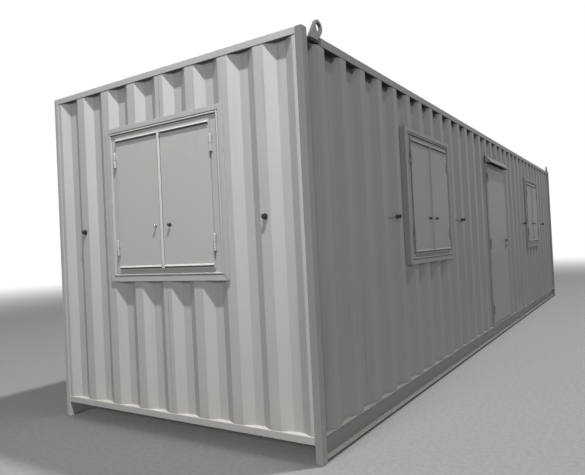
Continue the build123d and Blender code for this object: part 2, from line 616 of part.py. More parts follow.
# Fixed lower hinge barrels with their pins, welded to the window lips
with BuildPart() as shutter_hinge_pins:
    for window, *_ in WINDOWS.values():
        for side in SIDES.values():
            for level in HINGE_LEVELS:
                barrel = hinge_plane(window, side * SHUTTER_AXIS, SHUTTER_AXIS_FACE, level)
                with BuildSketch(barrel.offset(-BARREL_HALF_LENGTH)):
                    Circle(BARREL_RADIUS)
                    with Locations((0, (SHUTTER_AXIS_FACE - LIP_FACE) / 2)):
                        Rectangle(TAB_THICKNESS, SHUTTER_AXIS_FACE - LIP_FACE)
                extrude(amount=BARREL_HALF_LENGTH - BARREL_GAP / 2)
                with BuildSketch(barrel.offset(-BARREL_GAP / 2)):
                    Circle(PIN_RADIUS)
                extrude(amount=BARREL_GAP + PIN_LENGTH - PIN_CLEARANCE)
save(shutter_hinge_pins, "shutter_hinge_pins")

# Rubber-headed catches on the wall sheets, which meet the knobs of opened shutters
with BuildPart() as shutter_catches:
    for window, _, catch_distance, foot, face in WINDOWS.values():
        catch_places = [(side * catch_distance, -KNOB_BELOW_CENTRE) for side in SIDES.values()]
        with BuildSketch(window.offset(foot)):
            with Locations(*catch_places):
                Circle(CATCH_BASE_RADIUS)
        extrude(amount=CATCH_BASE_THICKNESS)
        with BuildSketch(window.offset(foot + CATCH_BASE_THICKNESS)):
            with Locations(*catch_places):
                Circle(CATCH_POST_RADIUS)
        extrude(amount=face - CATCH_HEAD_LENGTH - foot - CATCH_BASE_THICKNESS)
        with BuildSketch(window.offset(face - CATCH_HEAD_LENGTH)):
            with Locations(*catch_places):
                Circle(CATCH_HEAD_RADIUS)
        extrude(amount=CATCH_HEAD_LENGTH)
    head_rims = shutter_catches.edges().filter_by(GeomType.CIRCLE).filter_by(
        lambda edge: abs(edge.radius - CATCH_HEAD_RADIUS) < PIN_CLEARANCE
    )
    fillet(head_rims, CATCH_FILLET)
save(shutter_catches, "shutter_catches")

# Door frame: jambs, head, sill and a stop behind the leaf
DOOR = upright(FRONT, DOOR_ALONG, BASE_TOP)
DOOR_OPENING_HEIGHT = DOOR_HEAD - BASE_TOP
CLEAR_WIDTH = DOOR_OPENING_WIDTH - 2 * JAMB_WIDTH
CLEAR_HEIGHT = DOOR_OPENING_HEIGHT - JAMB_WIDTH - DOOR_SILL_HEIGHT
CLEAR_MIDDLE = DOOR_SILL_HEIGHT + CLEAR_HEIGHT / 2
STOP_FACE = DOOR_FACE - DOOR_THICKNESS - DOOR_STOP_GAP
with BuildPart() as door_frame:
    with BuildSketch(DOOR.offset(-SIDE_LINING_INNER)):
        with Locations((0, DOOR_OPENING_HEIGHT / 2)):
            Rectangle(DOOR_OPENING_WIDTH, DOOR_OPENING_HEIGHT)
        with Locations((0, CLEAR_MIDDLE)):
            Rectangle(CLEAR_WIDTH, CLEAR_HEIGHT, mode=Mode.SUBTRACT)
    extrude(amount=SIDE_LINING_INNER)
    with BuildSketch(DOOR.offset(STOP_FACE - DOOR_STOP_THICKNESS)):
        with Locations((0, CLEAR_MIDDLE)):
            Rectangle(CLEAR_WIDTH, CLEAR_HEIGHT)
            Rectangle(
                CLEAR_WIDTH - 2 * DOOR_STOP_WIDTH,
                CLEAR_HEIGHT - 2 * DOOR_STOP_WIDTH,
                mode=Mode.SUBTRACT,
            )
    extrude(amount=DOOR_STOP_THICKNESS)
save(door_frame, "door_frame")

# Door leaf with its upper hinge barrels
DOOR_WIDTH = CLEAR_WIDTH - 2 * DOOR_CLEARANCE
DOOR_HEIGHT = CLEAR_HEIGHT - 2 * DOOR_CLEARANCE
DOOR_AXIS = -CLEAR_WIDTH / 2 + DOOR_CLEARANCE / 2
DOOR_TAB_LENGTH = DOOR_CLEARANCE + BARREL_RADIUS
with BuildPart() as door_leaf:
    with BuildSketch(DOOR.offset(DOOR_FACE - DOOR_THICKNESS)):
        with Locations((0, CLEAR_MIDDLE)):
            Rectangle(DOOR_WIDTH, DOOR_HEIGHT)
    extrude(amount=DOOR_THICKNESS)
    for height in DOOR_HINGE_HEIGHTS:
        barrel = hinge_plane(DOOR, DOOR_AXIS, DOOR_AXIS_FACE, height - BASE_TOP)
        with BuildSketch(barrel.offset(BARREL_GAP / 2)):
            Circle(BARREL_RADIUS)
            with Locations((DOOR_TAB_LENGTH / 2, (DOOR_AXIS_FACE - DOOR_FACE) / 2)):
                Rectangle(DOOR_TAB_LENGTH, DOOR_AXIS_FACE - DOOR_FACE)
        extrude(amount=BARREL_HALF_LENGTH - BARREL_GAP / 2)
        with BuildSketch(barrel.offset(BARREL_GAP / 2)):
            Circle(PIN_RADIUS + PIN_CLEARANCE)
        extrude(amount=PIN_LENGTH + PIN_CLEARANCE, mode=Mode.SUBTRACT)
save(door_leaf, "door_leaf")

# Fixed lower barrels and pins of the door hinges, welded to the jamb
with BuildPart() as door_hinge_pins:
    for height in DOOR_HINGE_HEIGHTS:
        barrel = hinge_plane(DOOR, DOOR_AXIS, DOOR_AXIS_FACE, height - BASE_TOP)
        with BuildSketch(barrel.offset(-BARREL_HALF_LENGTH)):
            Circle(BARREL_RADIUS)
            with Locations((-DOOR_TAB_LENGTH / 2, DOOR_AXIS_FACE / 2)):
                Rectangle(DOOR_TAB_LENGTH, DOOR_AXIS_FACE)
        extrude(amount=BARREL_HALF_LENGTH - BARREL_GAP / 2)
        with BuildSketch(barrel.offset(-BARREL_GAP / 2)):
            Circle(PIN_RADIUS)
        extrude(amount=BARREL_GAP + PIN_LENGTH - PIN_CLEARANCE)
save(door_hinge_pins, "door_hinge_pins")

# Door handle: a long rose, a lever and a lock cylinder
HANDLE_ALONG = DOOR_WIDTH / 2 - HANDLE_FROM_EDGE
HANDLE = upright(FRONT, DOOR_ALONG + HANDLE_ALONG, HANDLE_HEIGHT)
with BuildPart() as door_handle:
    with BuildSketch(HANDLE.offset(DOOR_FACE)):
        RectangleRounded(ROSE_WIDTH, ROSE_HEIGHT, ROSE_WIDTH / 3)
    extrude(amount=ROSE_THICKNESS)
    with BuildSketch(HANDLE.offset(DOOR_FACE + ROSE_THICKNESS)):
        with Locations((0, LEVER_RISE)):
            Circle(LEVER_NECK_RADIUS)
        with Locations((0, -LOCK_DROP)):
            Circle(LOCK_RADIUS)
    extrude(amount=LOCK_LENGTH)
    with BuildSketch(HANDLE.offset(DOOR_FACE + ROSE_THICKNESS + LOCK_LENGTH)):
        with Locations((0, LEVER_RISE)):
            Circle(LEVER_NECK_RADIUS)
    extrude(amount=LEVER_NECK_LENGTH - LOCK_LENGTH)
    with BuildSketch(HANDLE.offset(DOOR_FACE + ROSE_THICKNESS + LEVER_NECK_LENGTH)):
        with Locations(((LEVER_HEIGHT - LEVER_LENGTH) / 2, LEVER_RISE)):
            SlotOverall(LEVER_LENGTH, LEVER_HEIGHT)
    extrude(amount=LEVER_THICKNESS)
    fillet(door_handle.faces().sort_by(Axis.Y)[0].edges(), LEVER_FILLET)
save(door_handle, "door_handle")

# Rain hood: a folded sheet with closed ends, open underneath
HOOD = Plane(
    origin=FRONT.from_local_coords(Vector(DOOR_ALONG - HOOD_LENGTH / 2, 0, DOOR_HEAD + HOOD_GAP_OVER_DOOR)),
    x_dir=-FRONT.y_dir,
    z_dir=-FRONT.x_dir,
)
HOOD_BACK = (CREST_FACE, HOOD_BACK_HEIGHT)
HOOD_NOSE = (HOOD_REACH, HOOD_FRONT_HEIGHT)
with BuildPart() as door_hood:
    with BuildSketch(HOOD.offset(-HOOD_LENGTH)):
        with BuildLine():
            Polyline((CREST_FACE, 0), HOOD_BACK, HOOD_NOSE, (HOOD_REACH, 0), (CREST_FACE, 0))
        make_face()
    extrude(amount=HOOD_LENGTH)
    with BuildSketch(HOOD.offset(HOOD_THICKNESS - HOOD_LENGTH)):
        with BuildLine():
            Polyline(
                (CREST_FACE + HOOD_THICKNESS, 0),
                (CREST_FACE + HOOD_THICKNESS, HOOD_BACK_HEIGHT - 2 * HOOD_THICKNESS),
                (HOOD_REACH - HOOD_THICKNESS, HOOD_FRONT_HEIGHT - HOOD_THICKNESS),
                (HOOD_REACH - HOOD_THICKNESS, 0),
                (CREST_FACE + HOOD_THICKNESS, 0),
            )
        make_face()
    extrude(amount=HOOD_LENGTH - 2 * HOOD_THICKNESS, mode=Mode.SUBTRACT)
save(door_hood, "door_hood")
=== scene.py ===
"""Looks of a steel site cabin: corrugated painted walls, shuttered windows and a front door.

Metres, +Z up. The front wall with the door faces -Y and the end wall with a window
faces -X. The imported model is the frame, and every piece here is placed by its boxes.
"""

import json
import logging
import math
from dataclasses import dataclass, field, fields
from enum import Enum
from typing import Callable, Iterable, Optional, Sequence

import bmesh
import bpy
from bmesh.types import BMesh
from bpy.types import Material, Mesh, Node, NodeSocket, NodeTree, Object
from mathutils import Matrix, Vector

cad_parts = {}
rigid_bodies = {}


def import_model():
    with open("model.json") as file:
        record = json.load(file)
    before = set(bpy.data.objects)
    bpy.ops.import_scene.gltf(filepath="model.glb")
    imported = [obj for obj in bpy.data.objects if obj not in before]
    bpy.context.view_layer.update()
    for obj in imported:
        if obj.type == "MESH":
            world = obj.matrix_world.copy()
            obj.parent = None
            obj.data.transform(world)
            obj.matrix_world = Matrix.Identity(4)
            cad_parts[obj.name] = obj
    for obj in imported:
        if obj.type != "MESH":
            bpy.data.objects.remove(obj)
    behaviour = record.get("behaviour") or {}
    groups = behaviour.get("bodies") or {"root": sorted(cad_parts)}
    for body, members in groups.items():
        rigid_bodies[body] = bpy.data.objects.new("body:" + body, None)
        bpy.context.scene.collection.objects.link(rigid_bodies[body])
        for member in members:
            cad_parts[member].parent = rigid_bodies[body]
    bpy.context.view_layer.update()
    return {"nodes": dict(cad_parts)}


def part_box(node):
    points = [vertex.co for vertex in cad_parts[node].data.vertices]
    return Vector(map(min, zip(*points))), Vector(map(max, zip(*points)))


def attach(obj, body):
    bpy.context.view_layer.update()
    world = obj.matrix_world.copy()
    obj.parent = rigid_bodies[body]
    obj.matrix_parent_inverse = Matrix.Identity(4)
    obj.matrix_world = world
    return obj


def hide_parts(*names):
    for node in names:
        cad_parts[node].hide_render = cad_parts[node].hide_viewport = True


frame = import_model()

UP = Vector((0.0, 0.0, 1.0))
PAINT_SLOT = "light_grey_paint"
SIDE_PITCH, END_PITCH = 0.289, 0.2947  # fold pitches of the long walls and the end walls
END_FIRST = 0.1815  # middle of an end wall's first recess
RAIL_DEPTH = 0.05
SHEET_THICKNESS = 0.002
END_PIECES = (
    "left_wall_sheet", "end_window", "corner_post_back_left", "base_end_rails", "top_end_rails",
    "weld_beads_end",
)
SOCKET_KINDS = {int: "Int", float: "Float", tuple: "Color", type(None): "Material"}
log = logging.getLogger("cabin")

Point2 = tuple[float, float]


class Hand(Enum):
    """Left or right leaf of a window, as seen from outside."""

    LEFT = -1
    RIGHT = 1


class Run(Enum):
    """Direction in which a straight bar runs."""

    X = 0
    Y = 1
    Z = 2


# Places


@dataclass(frozen=True)
class Face:
    """Upright plane of the cabin: u to the right, v up and w out of the wall.

    Attributes:
        origin: Point where u, v and w are all zero.
        right: Unit vector to the right, seen from outside.
        out: Unit vector out of the wall.
    """

    origin: Vector
    right: Vector
    out: Vector

    def at(self, u: float, v: float, w: float) -> Vector:
        """World point of the local place (u, v, w)."""
        return self.origin + self.right * u + UP * v + self.out * w

    def matrix(self) -> Matrix:
        """Matrix that takes local (u, v, w) to the world."""
        return Matrix.Translation(self.origin) @ turning(self.right, UP, self.out)

    def plan_matrix(self) -> Matrix:
        """Matrix that takes local (u, depth inwards, height) to the world."""
        return Matrix.Translation(self.origin) @ turning(self.right, -self.out, UP)

    def moved(self, u: float, v: float) -> "Face":
        """Same plane with its origin moved by u and v."""
        return Face(self.at(u, v, 0.0), self.right, self.out)


@dataclass(frozen=True)
class CabinPlan:
    """Corners and levels of the cabin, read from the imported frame.

    Attributes:
        x_left: Outer plane of the end wall with the window.
        x_right: Outer plane of the plain end wall.
        y_front: Outer plane of the front wall.
        y_back: Outer plane of the back wall.
        top: Top of the corner posts.
    """

    x_left: float
    x_right: float
    y_front: float
    y_back: float
    top: float

    @classmethod
    def from_frame(cls) -> "CabinPlan":
        """Reads the posts' boxes.

        Returns:
            The plan.
        """
        low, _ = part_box("corner_post_front_left")
        _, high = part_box("corner_post_back_right")
        return cls(low.x, high.x, low.y, high.y, high.z)

    @property
    def length(self) -> float:
        """Length over the posts."""
        return self.x_right - self.x_left

    @property
    def width(self) -> float:
        """Width over the posts."""
        return self.y_back - self.y_front

    def front(self) -> Face:
        """Front wall, which has the door."""
        return Face(Vector((self.x_left, self.y_front, 0)), Vector((1, 0, 0)), Vector((0, -1, 0)))

    def back(self) -> Face:
        """Back wall."""
        return Face(Vector((self.x_right, self.y_back, 0)), Vector((-1, 0, 0)), Vector((0, 1, 0)))

    def left(self) -> Face:
        """End wall with a window."""
        return Face(Vector((self.x_left, self.y_back, 0)), Vector((0, -1, 0)), Vector((-1, 0, 0)))

    def right(self) -> Face:
        """Plain end wall."""
        return Face(Vector((self.x_right, self.y_front, 0)), Vector((0, 1, 0)), Vector((1, 0, 0)))


# Node helpers


class Wiring:
    """Makes and links nodes in one shader or Geometry Nodes tree."""

    def __init__(self, tree: NodeTree) -> None:
        """Keeps the tree that the nodes go in."""
        self.tree = tree

    def node(self, kind: str, inputs: Optional[dict] = None, **settings: object) -> Node:
        """Adds a node.

        Args:
            kind: Node type.
            inputs: Values or sockets by input name or index.
            **settings: Properties of the node.

        Returns:
            The new node.
        """
        node = self.tree.nodes.new(kind)
        for name, value in settings.items():
            setattr(node, name, value)
        for key, value in (inputs or {}).items():
            self.feed(node.inputs[key], value)
        return node

    def feed(self, socket: NodeSocket, value: object) -> None:
        """Links a socket into another, or sets its value.

        Args:
            socket: Input to feed.
            value: Another node's output, or a plain value.
        """
        if isinstance(value, NodeSocket):
            self.tree.links.new(value, socket)
        else:
            socket.default_value = value

    def out(self, kind: str, inputs: Optional[dict] = None, **settings: object) -> NodeSocket:
        """Adds a node and gives its first output."""
        return self.node(kind, inputs, **settings).outputs[0]

    def group(self, tree: NodeTree, **values: object) -> Sequence[NodeSocket]:
        """Adds a shader group with its own values and gives its outputs."""
        return self.node("ShaderNodeGroup", values, node_tree=tree).outputs

    def math(self, operation: str, *values: object, clamp: bool = False) -> NodeSocket:
        """Adds a math node with its values in order and gives its output."""
        return self.out("ShaderNodeMath", dict(enumerate(values)), operation=operation, use_clamp=clamp)

    def place(self) -> NodeSocket:
        """Place on the object, in its own coordinates."""
        return self.node("ShaderNodeTexCoord").outputs["Object"]

    def part(self, vector: NodeSocket, index: int) -> NodeSocket:
        """One number of a vector."""
        return self.node("ShaderNodeSeparateXYZ", {0: vector}).outputs[index]

    def combine(self, x: object, y: object, z: object) -> NodeSocket:
        """Joins three numbers into a vector."""
        return self.out("ShaderNodeCombineXYZ", {0: x, 1: y, 2: z})

    def noise(self, place: object, scale: object, detail: float = 3.0, rough: float = 0.5) -> NodeSocket:
        """Adds a noise texture and gives its value."""
        wanted = {"Vector": place, "Scale": scale, "Detail": detail, "Roughness": rough}
        return self.out("ShaderNodeTexNoise", wanted)

    def ramp(
        self, value: object, low: float, high: float, to_low: float = 0.0, to_high: float = 1.0,
    ) -> NodeSocket:
        """Maps low..high to to_low..to_high smoothly and clamps it."""
        wanted = {"Value": value, "From Min": low, "From Max": high, "To Min": to_low, "To Max": to_high}
        return self.out("ShaderNodeMapRange", wanted, interpolation_type="SMOOTHSTEP")

    def chance(self, low: object, high: object, seed: object) -> NodeSocket:
        """Random number for each element, from low to high."""
        return self.node(
            "FunctionNodeRandomValue", {2: low, 3: high, "Seed": seed}, data_type="FLOAT",
        ).outputs[1]

    def mix(self, factor: object, first: object, second: object) -> NodeSocket:
        """Mixes two colours."""
        return self.node("ShaderNodeMix", {0: factor, 6: first, 7: second}, data_type="RGBA").outputs[2]


def grey(level: float, warmth: float = 0.0) -> tuple[float, float, float, float]:
    """Linear colour of a grey, a little warmer or cooler."""
    return (level * (1 + warmth), level, level * (1 - warmth), 1.0)


# Shader groups


def add_inputs(tree: NodeTree, inputs: dict) -> None:
    """Gives a tree named inputs, each typed by its default value.

    Args:
        tree: Shader group or Geometry Nodes tree.
        inputs: Default value of each input by name; None stands for a material.
    """
    for label, value in inputs.items():
        kind = f"NodeSocket{SOCKET_KINDS[type(value)]}"
        socket = tree.interface.new_socket(label, in_out="INPUT", socket_type=kind)
        if value is not None:
            socket.default_value = value


def new_group(name: str, inputs: dict, *outputs: str) -> tuple[NodeTree, Wiring, Sequence[NodeSocket]]:
    """Makes an empty shader node group.

    Args:
        name: Group's name.
        inputs: Default value of each input by name.
        *outputs: Names of the outputs, all numbers but Color.

    Returns:
        The group, its wiring and the values given to it.
    """
    tree = bpy.data.node_groups.new(name, "ShaderNodeTree")
    add_inputs(tree, inputs)
    for label in outputs:
        kind = "NodeSocketColor" if label == "Color" else "NodeSocketFloat"
        tree.interface.new_socket(label, in_out="OUTPUT", socket_type=kind)
    wire = Wiring(tree)
    return tree, wire, wire.node("NodeGroupInput").outputs


def mottle_group() -> NodeTree:
    """Uneven tone of rolled paint over old steel, with its fine orange-peel height.

    Returns:
        The group.
    """
    inputs = {"Color": (0.3, 0.3, 0.3, 1), "Variation": 0.08, "Scale": 1.6}
    tree, wire, given = new_group("PaintMottle", inputs, "Color", "Height")
    place = wire.place()
    broad = wire.noise(place, given["Scale"], 5.0, 0.6)
    level = wire.math("MULTIPLY_ADD", wire.math("SUBTRACT", broad, 0.5), given["Variation"], 1.0)
    tone = wire.out("ShaderNodeVectorMath", {0: given["Color"], 3: level}, operation="SCALE")
    rolled = wire.noise(place, 70.0, 2.0)
    peel = wire.noise(place, 420.0, 2.0)
    height = wire.math("MULTIPLY_ADD", rolled, 0.45, wire.math("MULTIPLY", peel, 0.55))
    wire.node("NodeGroupOutput", {"Color": tone, "Height": height})
    return tree


def dust_group() -> NodeTree:
    """Pale stone dust that thins out upwards and lies on ledges.

    Returns:
        The group.
    """
    inputs = {"Reach": 0.6, "Wall": 0.35, "Ledge": 0.7}
    tree, wire, given = new_group("GroundDust", inputs, "Mask")
    place = wire.place()
    height = wire.part(place, 2)
    uneven = wire.math("MULTIPLY_ADD", wire.noise(place, 4.0, 4.0), 0.5, height)
    low = wire.math("SUBTRACT", 1.0, wire.ramp(wire.math("DIVIDE", uneven, given["Reach"]), 0.35, 1.3))
    grain = wire.ramp(wire.noise(place, 190.0, 3.0, 0.7), 0.38, 0.62)
    speck = wire.math("MULTIPLY_ADD", grain, 0.6, 0.4)
    wall = wire.math("MULTIPLY", wire.math("MULTIPLY", low, speck), given["Wall"])
    normal = wire.node("ShaderNodeNewGeometry").outputs["Normal"]
    facing = wire.ramp(wire.part(normal, 2), 0.55, 0.95)
    patch = wire.ramp(wire.noise(place, 14.0, 4.0, 0.6), 0.3, 0.6, 0.35, 1.0)
    ledge = wire.math("MULTIPLY", wire.math("MULTIPLY", facing, patch), given["Ledge"])
    mask = wire.math("MAXIMUM", wall, ledge, clamp=True)
    wire.node("NodeGroupOutput", {"Mask": mask})
    return tree


def streak_group() -> NodeTree:
    """Faint upright marks that rain leaves on walls.

    Returns:
        The group.
    """
    inputs = {"Fineness": 22.0, "Strength": 0.25}
    tree, wire, given = new_group("RainStreaks", inputs, "Mask")
    place = wire.place()
    parts = wire.node("ShaderNodeSeparateXYZ", {0: place})
    stretched = wire.combine(
        parts.outputs[0], parts.outputs[1], wire.math("MULTIPLY", parts.outputs[2], 0.035),
    )
    lines = wire.noise(stretched, given["Fineness"], 4.0, 0.65)
    thin = wire.ramp(lines, 0.52, 0.72)
    patches = wire.ramp(wire.noise(place, 0.9, 3.0), 0.42, 0.62)
    mask = wire.math("MULTIPLY", wire.math("MULTIPLY", thin, patches), given["Strength"], clamp=True)
    wire.node("NodeGroupOutput", {"Mask": mask})
    return tree


def chip_group() -> NodeTree:
    """Small scattered chips and rust freckles, more of them near the ground.

    Returns:
        The group.
    """
    inputs = {"Size": 36.0, "Amount": 0.5, "Reach": 0.5}
    tree, wire, given = new_group("PaintChips", inputs, "Mask")
    place = wire.place()
    cells = wire.node("ShaderNodeTexVoronoi", {"Vector": place, "Scale": given["Size"], "Randomness": 1.0})
    wobble = wire.math("MULTIPLY_ADD", wire.noise(place, 90.0, 2.0), 0.16, cells.outputs["Distance"])
    spot = wire.math("SUBTRACT", 1.0, wire.ramp(wobble, 0.14, 0.2))
    chosen = wire.math(
        "GREATER_THAN", wire.noise(place, 7.0, 2.0),
        wire.math("SUBTRACT", 0.86, wire.math("MULTIPLY", given["Amount"], 0.3)),
    )
    height = wire.part(place, 2)
    low = wire.math("SUBTRACT", 1.0, wire.ramp(wire.math("DIVIDE", height, given["Reach"]), 0.4, 1.4))
    mask = wire.math(
        "MULTIPLY", wire.math("MULTIPLY", spot, chosen), wire.math("MULTIPLY_ADD", low, 0.8, 0.2),
        clamp=True,
    )
    wire.node("NodeGroupOutput", {"Mask": mask})
    return tree


def eave_shade_group() -> NodeTree:
    """Painted shade in the wall valleys just under the top rails, where their shadow falls.

    Returns:
        The group.
    """
    inputs = {"Level": 2.535, "Drop": 0.075, "Half Width": 1.219, "Middle": 0.0325}
    tree, wire, given = new_group("EaveGrime", inputs, "Mask")
    place = wire.place()
    parts = wire.node("ShaderNodeSeparateXYZ", {0: place})
    sideways = wire.math("ABSOLUTE", wire.math("SUBTRACT", parts.outputs[1], given["Middle"]))
    depth = wire.math("SUBTRACT", given["Half Width"], sideways)
    pocket = wire.ramp(depth, 0.006, 0.037)
    fall = wire.math("DIVIDE", wire.math("SUBTRACT", given["Level"], parts.outputs[2]), given["Drop"])
    high = wire.math(
        "SUBTRACT", 1.0, wire.ramp(wire.math("DIVIDE", fall, wire.math("ADD", pocket, 0.02)), 0.65, 1.0),
    )
    shallow = wire.math("LESS_THAN", depth, 0.05)
    mask = wire.math("MULTIPLY", wire.math("MULTIPLY", high, pocket), shallow, clamp=True)
    wire.node("NodeGroupOutput", {"Mask": mask})
    return tree


def underside_shade_group() -> NodeTree:
    """Painted shade on faces that look down, such as under bars, beads and flanges.

    Returns:
        The group.
    """
    inputs = {"Strength": 0.8}
    tree, wire, given = new_group("UndersideGrime", inputs, "Mask")
    normal = wire.node("ShaderNodeNewGeometry").outputs["Normal"]
    down = wire.ramp(wire.part(normal, 2), -0.75, -0.15, 1.0, 0.0)
    wire.node("NodeGroupOutput", {"Mask": wire.math("MULTIPLY", down, given["Strength"], clamp=True)})
    return tree


def speckle_group() -> NodeTree:
    """Fine two-tone speckle and height of rubber, board and vinyl.

    Returns:
        The group.
    """
    inputs = {"Dark": (0.02, 0.02, 0.02, 1), "Light": (0.04, 0.04, 0.04, 1), "Scale": 160.0}
    tree, wire, given = new_group("Speckle", inputs, "Color", "Height")
    place = wire.place()
    fine = wire.noise(place, given["Scale"], 4.0, 0.7)
    broad = wire.noise(place, 5.0, 3.0)
    share = wire.math("MULTIPLY_ADD", wire.ramp(fine, 0.4, 0.62), 0.75, wire.math("MULTIPLY", broad, 0.25))
    tone = wire.mix(share, given["Dark"], given["Light"])
    wire.node("NodeGroupOutput", {"Color": tone, "Height": fine})
    return tree


@dataclass
class ShaderGroups:
    """Shader node groups that several materials share.

    Attributes:
        mottle: Patches of lighter and darker paint.
        dust: Dust on ledges and low down.
        streaks: Rain marks.
        chips: Rust freckles.
        eave: Painted shade under the eaves.
        underside: Painted shade on faces that look down.
        speckle: Fine speckles.
    """

    mottle: NodeTree = field(default_factory=mottle_group)
    dust: NodeTree = field(default_factory=dust_group)
    streaks: NodeTree = field(default_factory=streak_group)
    chips: NodeTree = field(default_factory=chip_group)
    eave: NodeTree = field(default_factory=eave_shade_group)
    underside: NodeTree = field(default_factory=underside_shade_group)
    speckle: NodeTree = field(default_factory=speckle_group)


# Finishes

# Rain marks, then two near blacks of painted shade: one for faces that look down, one for the wall valleys
# under the top side rails.
RAIN_MARK, PAINTED_UNDERSIDE_SHADE, PAINTED_EAVE_SHADE = grey(0.13, 0.04), grey(0.03), grey(0.022)
STONE_DUST, RUST = (0.42, 0.39, 0.35, 1.0), (0.11, 0.065, 0.045, 1.0)
GLASS_DUST = (0.9, 0.92, 0.91, 1.0)


def new_material(name: str) -> tuple[Material, Wiring, Node]:
    """Makes a material with an empty Principled shader.

    Args:
        name: Material's name.

    Returns:
        The material, its wiring and the shader.
    """
    material = bpy.data.materials.new(name)
    material.use_nodes = True
    shader = material.node_tree.nodes["Principled BSDF"]
    return material, Wiring(material.node_tree), shader


@dataclass(frozen=True)
class PaintFinish:
    """Satin paint with dust, rain marks, chips, and painted shade on downward faces and under the top rails.

    Attributes:
        name: Material's name.
        color: Linear colour of clean paint.
        roughness: Roughness of clean paint.
        variation: How uneven its tone is.
        bump: Depth of the rolled texture, in metres.
        dust_reach: Height that ground dust reaches, in metres.
        dust_wall: Dust on upright faces, from 0 to 1.
        dust_ledge: Dust on faces that look up, from 0 to 1.
        streaks: Strength of rain marks.
        chips: Amount of chips and rust freckles.
        underside: Strength of the painted shade on faces that look down.
        eave_grime: Strength of the painted shade in the valleys under the top side rails.
    """

    name: str
    color: tuple[float, float, float, float] = (0.3, 0.3, 0.3, 1.0)
    roughness: float = 0.42
    variation: float = 0.1
    bump: float = 0.0004
    dust_reach: float = 0.7
    dust_wall: float = 0.3
    dust_ledge: float = 0.6
    streaks: float = 0.25
    chips: float = 0.4
    underside: float = 0.85
    eave_grime: float = 0.0

    def build(self, groups: ShaderGroups) -> Material:
        """Builds the material.

        Args:
            groups: Shared shader groups.

        Returns:
            The new material.
        """
        material, wire, shader = new_material(self.name)
        mottle = wire.group(groups.mottle, Color=self.color, Variation=self.variation)
        dust = wire.group(
            groups.dust, Reach=self.dust_reach, Wall=self.dust_wall, Ledge=self.dust_ledge,
        )["Mask"]
        streaks = wire.group(groups.streaks, Strength=self.streaks)["Mask"]
        chips = wire.group(groups.chips, Amount=self.chips)["Mask"]
        washed = wire.mix(streaks, mottle["Color"], RAIN_MARK)
        worn = wire.mix(chips, wire.mix(dust, washed, STONE_DUST), RUST)
        # Painted shade: faces that look down turn near black.
        worn = wire.mix(wire.group(groups.underside, Strength=self.underside)["Mask"], worn, PAINTED_UNDERSIDE_SHADE)
        # Painted shade: the valleys under the top side rails turn near black.
        if self.eave_grime > 0:
            eave = wire.math("MULTIPLY", wire.group(groups.eave)["Mask"], self.eave_grime)
            worn = wire.mix(eave, worn, PAINTED_EAVE_SHADE)
        wire.feed(shader.inputs["Base Color"], worn)
        shader.inputs["Specular IOR Level"].default_value = 0.3
        rough = wire.math("MULTIPLY_ADD", dust, 0.4, self.roughness)
        peel = wire.math("SUBTRACT", mottle["Height"], 0.5)
        wire.feed(shader.inputs["Roughness"], wire.math("MULTIPLY_ADD", peel, 0.2, rough, clamp=True))
        height = wire.math("SUBTRACT", mottle["Height"], wire.math("MULTIPLY", chips, 0.6))
        bump = wire.out("ShaderNodeBump", {"Height": height, "Distance": self.bump, "Strength": 1.0})
        wire.feed(shader.inputs["Normal"], bump)
        return material


@dataclass(frozen=True)
class SpeckleFinish:
    """Plain speckled surface, such as rubber, vinyl, board or bare steel.

    Attributes:
        name: Material's name.
        dark: Darker linear colour.
        light: Lighter linear colour.
        scale: Fineness of the speckle.
        roughness: Roughness.
        metallic: Metallic value.
        bump: Depth of the speckle, in metres.
        sheen: Sheen weight of a soft surface.
    """

    name: str
    dark: tuple[float, float, float, float]
    light: tuple[float, float, float, float]
    scale: float = 160.0
    roughness: float = 0.6
    metallic: float = 0.0
    bump: float = 0.0003
    sheen: float = 0.0

    def build(self, groups: ShaderGroups) -> Material:
        """Builds the material.

        Args:
            groups: Shared shader groups.

        Returns:
            The new material.
        """
        material, wire, shader = new_material(self.name)
        speckle = wire.group(groups.speckle, Dark=self.dark, Light=self.light, Scale=self.scale)
        wire.feed(shader.inputs["Base Color"], speckle["Color"])
        rough = wire.math("MULTIPLY_ADD", speckle["Height"], 0.25, self.roughness - 0.12, clamp=True)
        wire.feed(shader.inputs["Roughness"], rough)
        shader.inputs["Metallic"].default_value = self.metallic
        shader.inputs["Sheen Weight"].default_value = self.sheen
        bump = wire.out("ShaderNodeBump", {"Height": speckle["Height"], "Distance": self.bump})
        wire.feed(shader.inputs["Normal"], bump)
        return material


@dataclass(frozen=True)
class GlassFinish:
    """Clear window glass with a little dust on it.

    Attributes:
        name: Material's name.
        color: Linear tint.
        roughness: Roughness of clean glass.
    """

    name: str
    color: tuple[float, float, float, float] = (0.82, 0.87, 0.86, 1.0)
    roughness: float = 0.03

    def build(self, groups: ShaderGroups) -> Material:
        """Builds the material.

        Args:
            groups: Shared shader groups.

        Returns:
            The new material.
        """
        material, wire, shader = new_material(self.name)
        speckle = wire.group(groups.speckle, Dark=self.color, Light=GLASS_DUST, Scale=60.0)
        wire.feed(shader.inputs["Base Color"], speckle["Color"])
        rough = wire.math("MULTIPLY_ADD", speckle["Height"], 0.05, self.roughness)
        wire.feed(shader.inputs["Roughness"], rough)
        shader.inputs["IOR"].default_value = 1.45
        shader.inputs["Transmission Weight"].default_value = 0.9
        return material


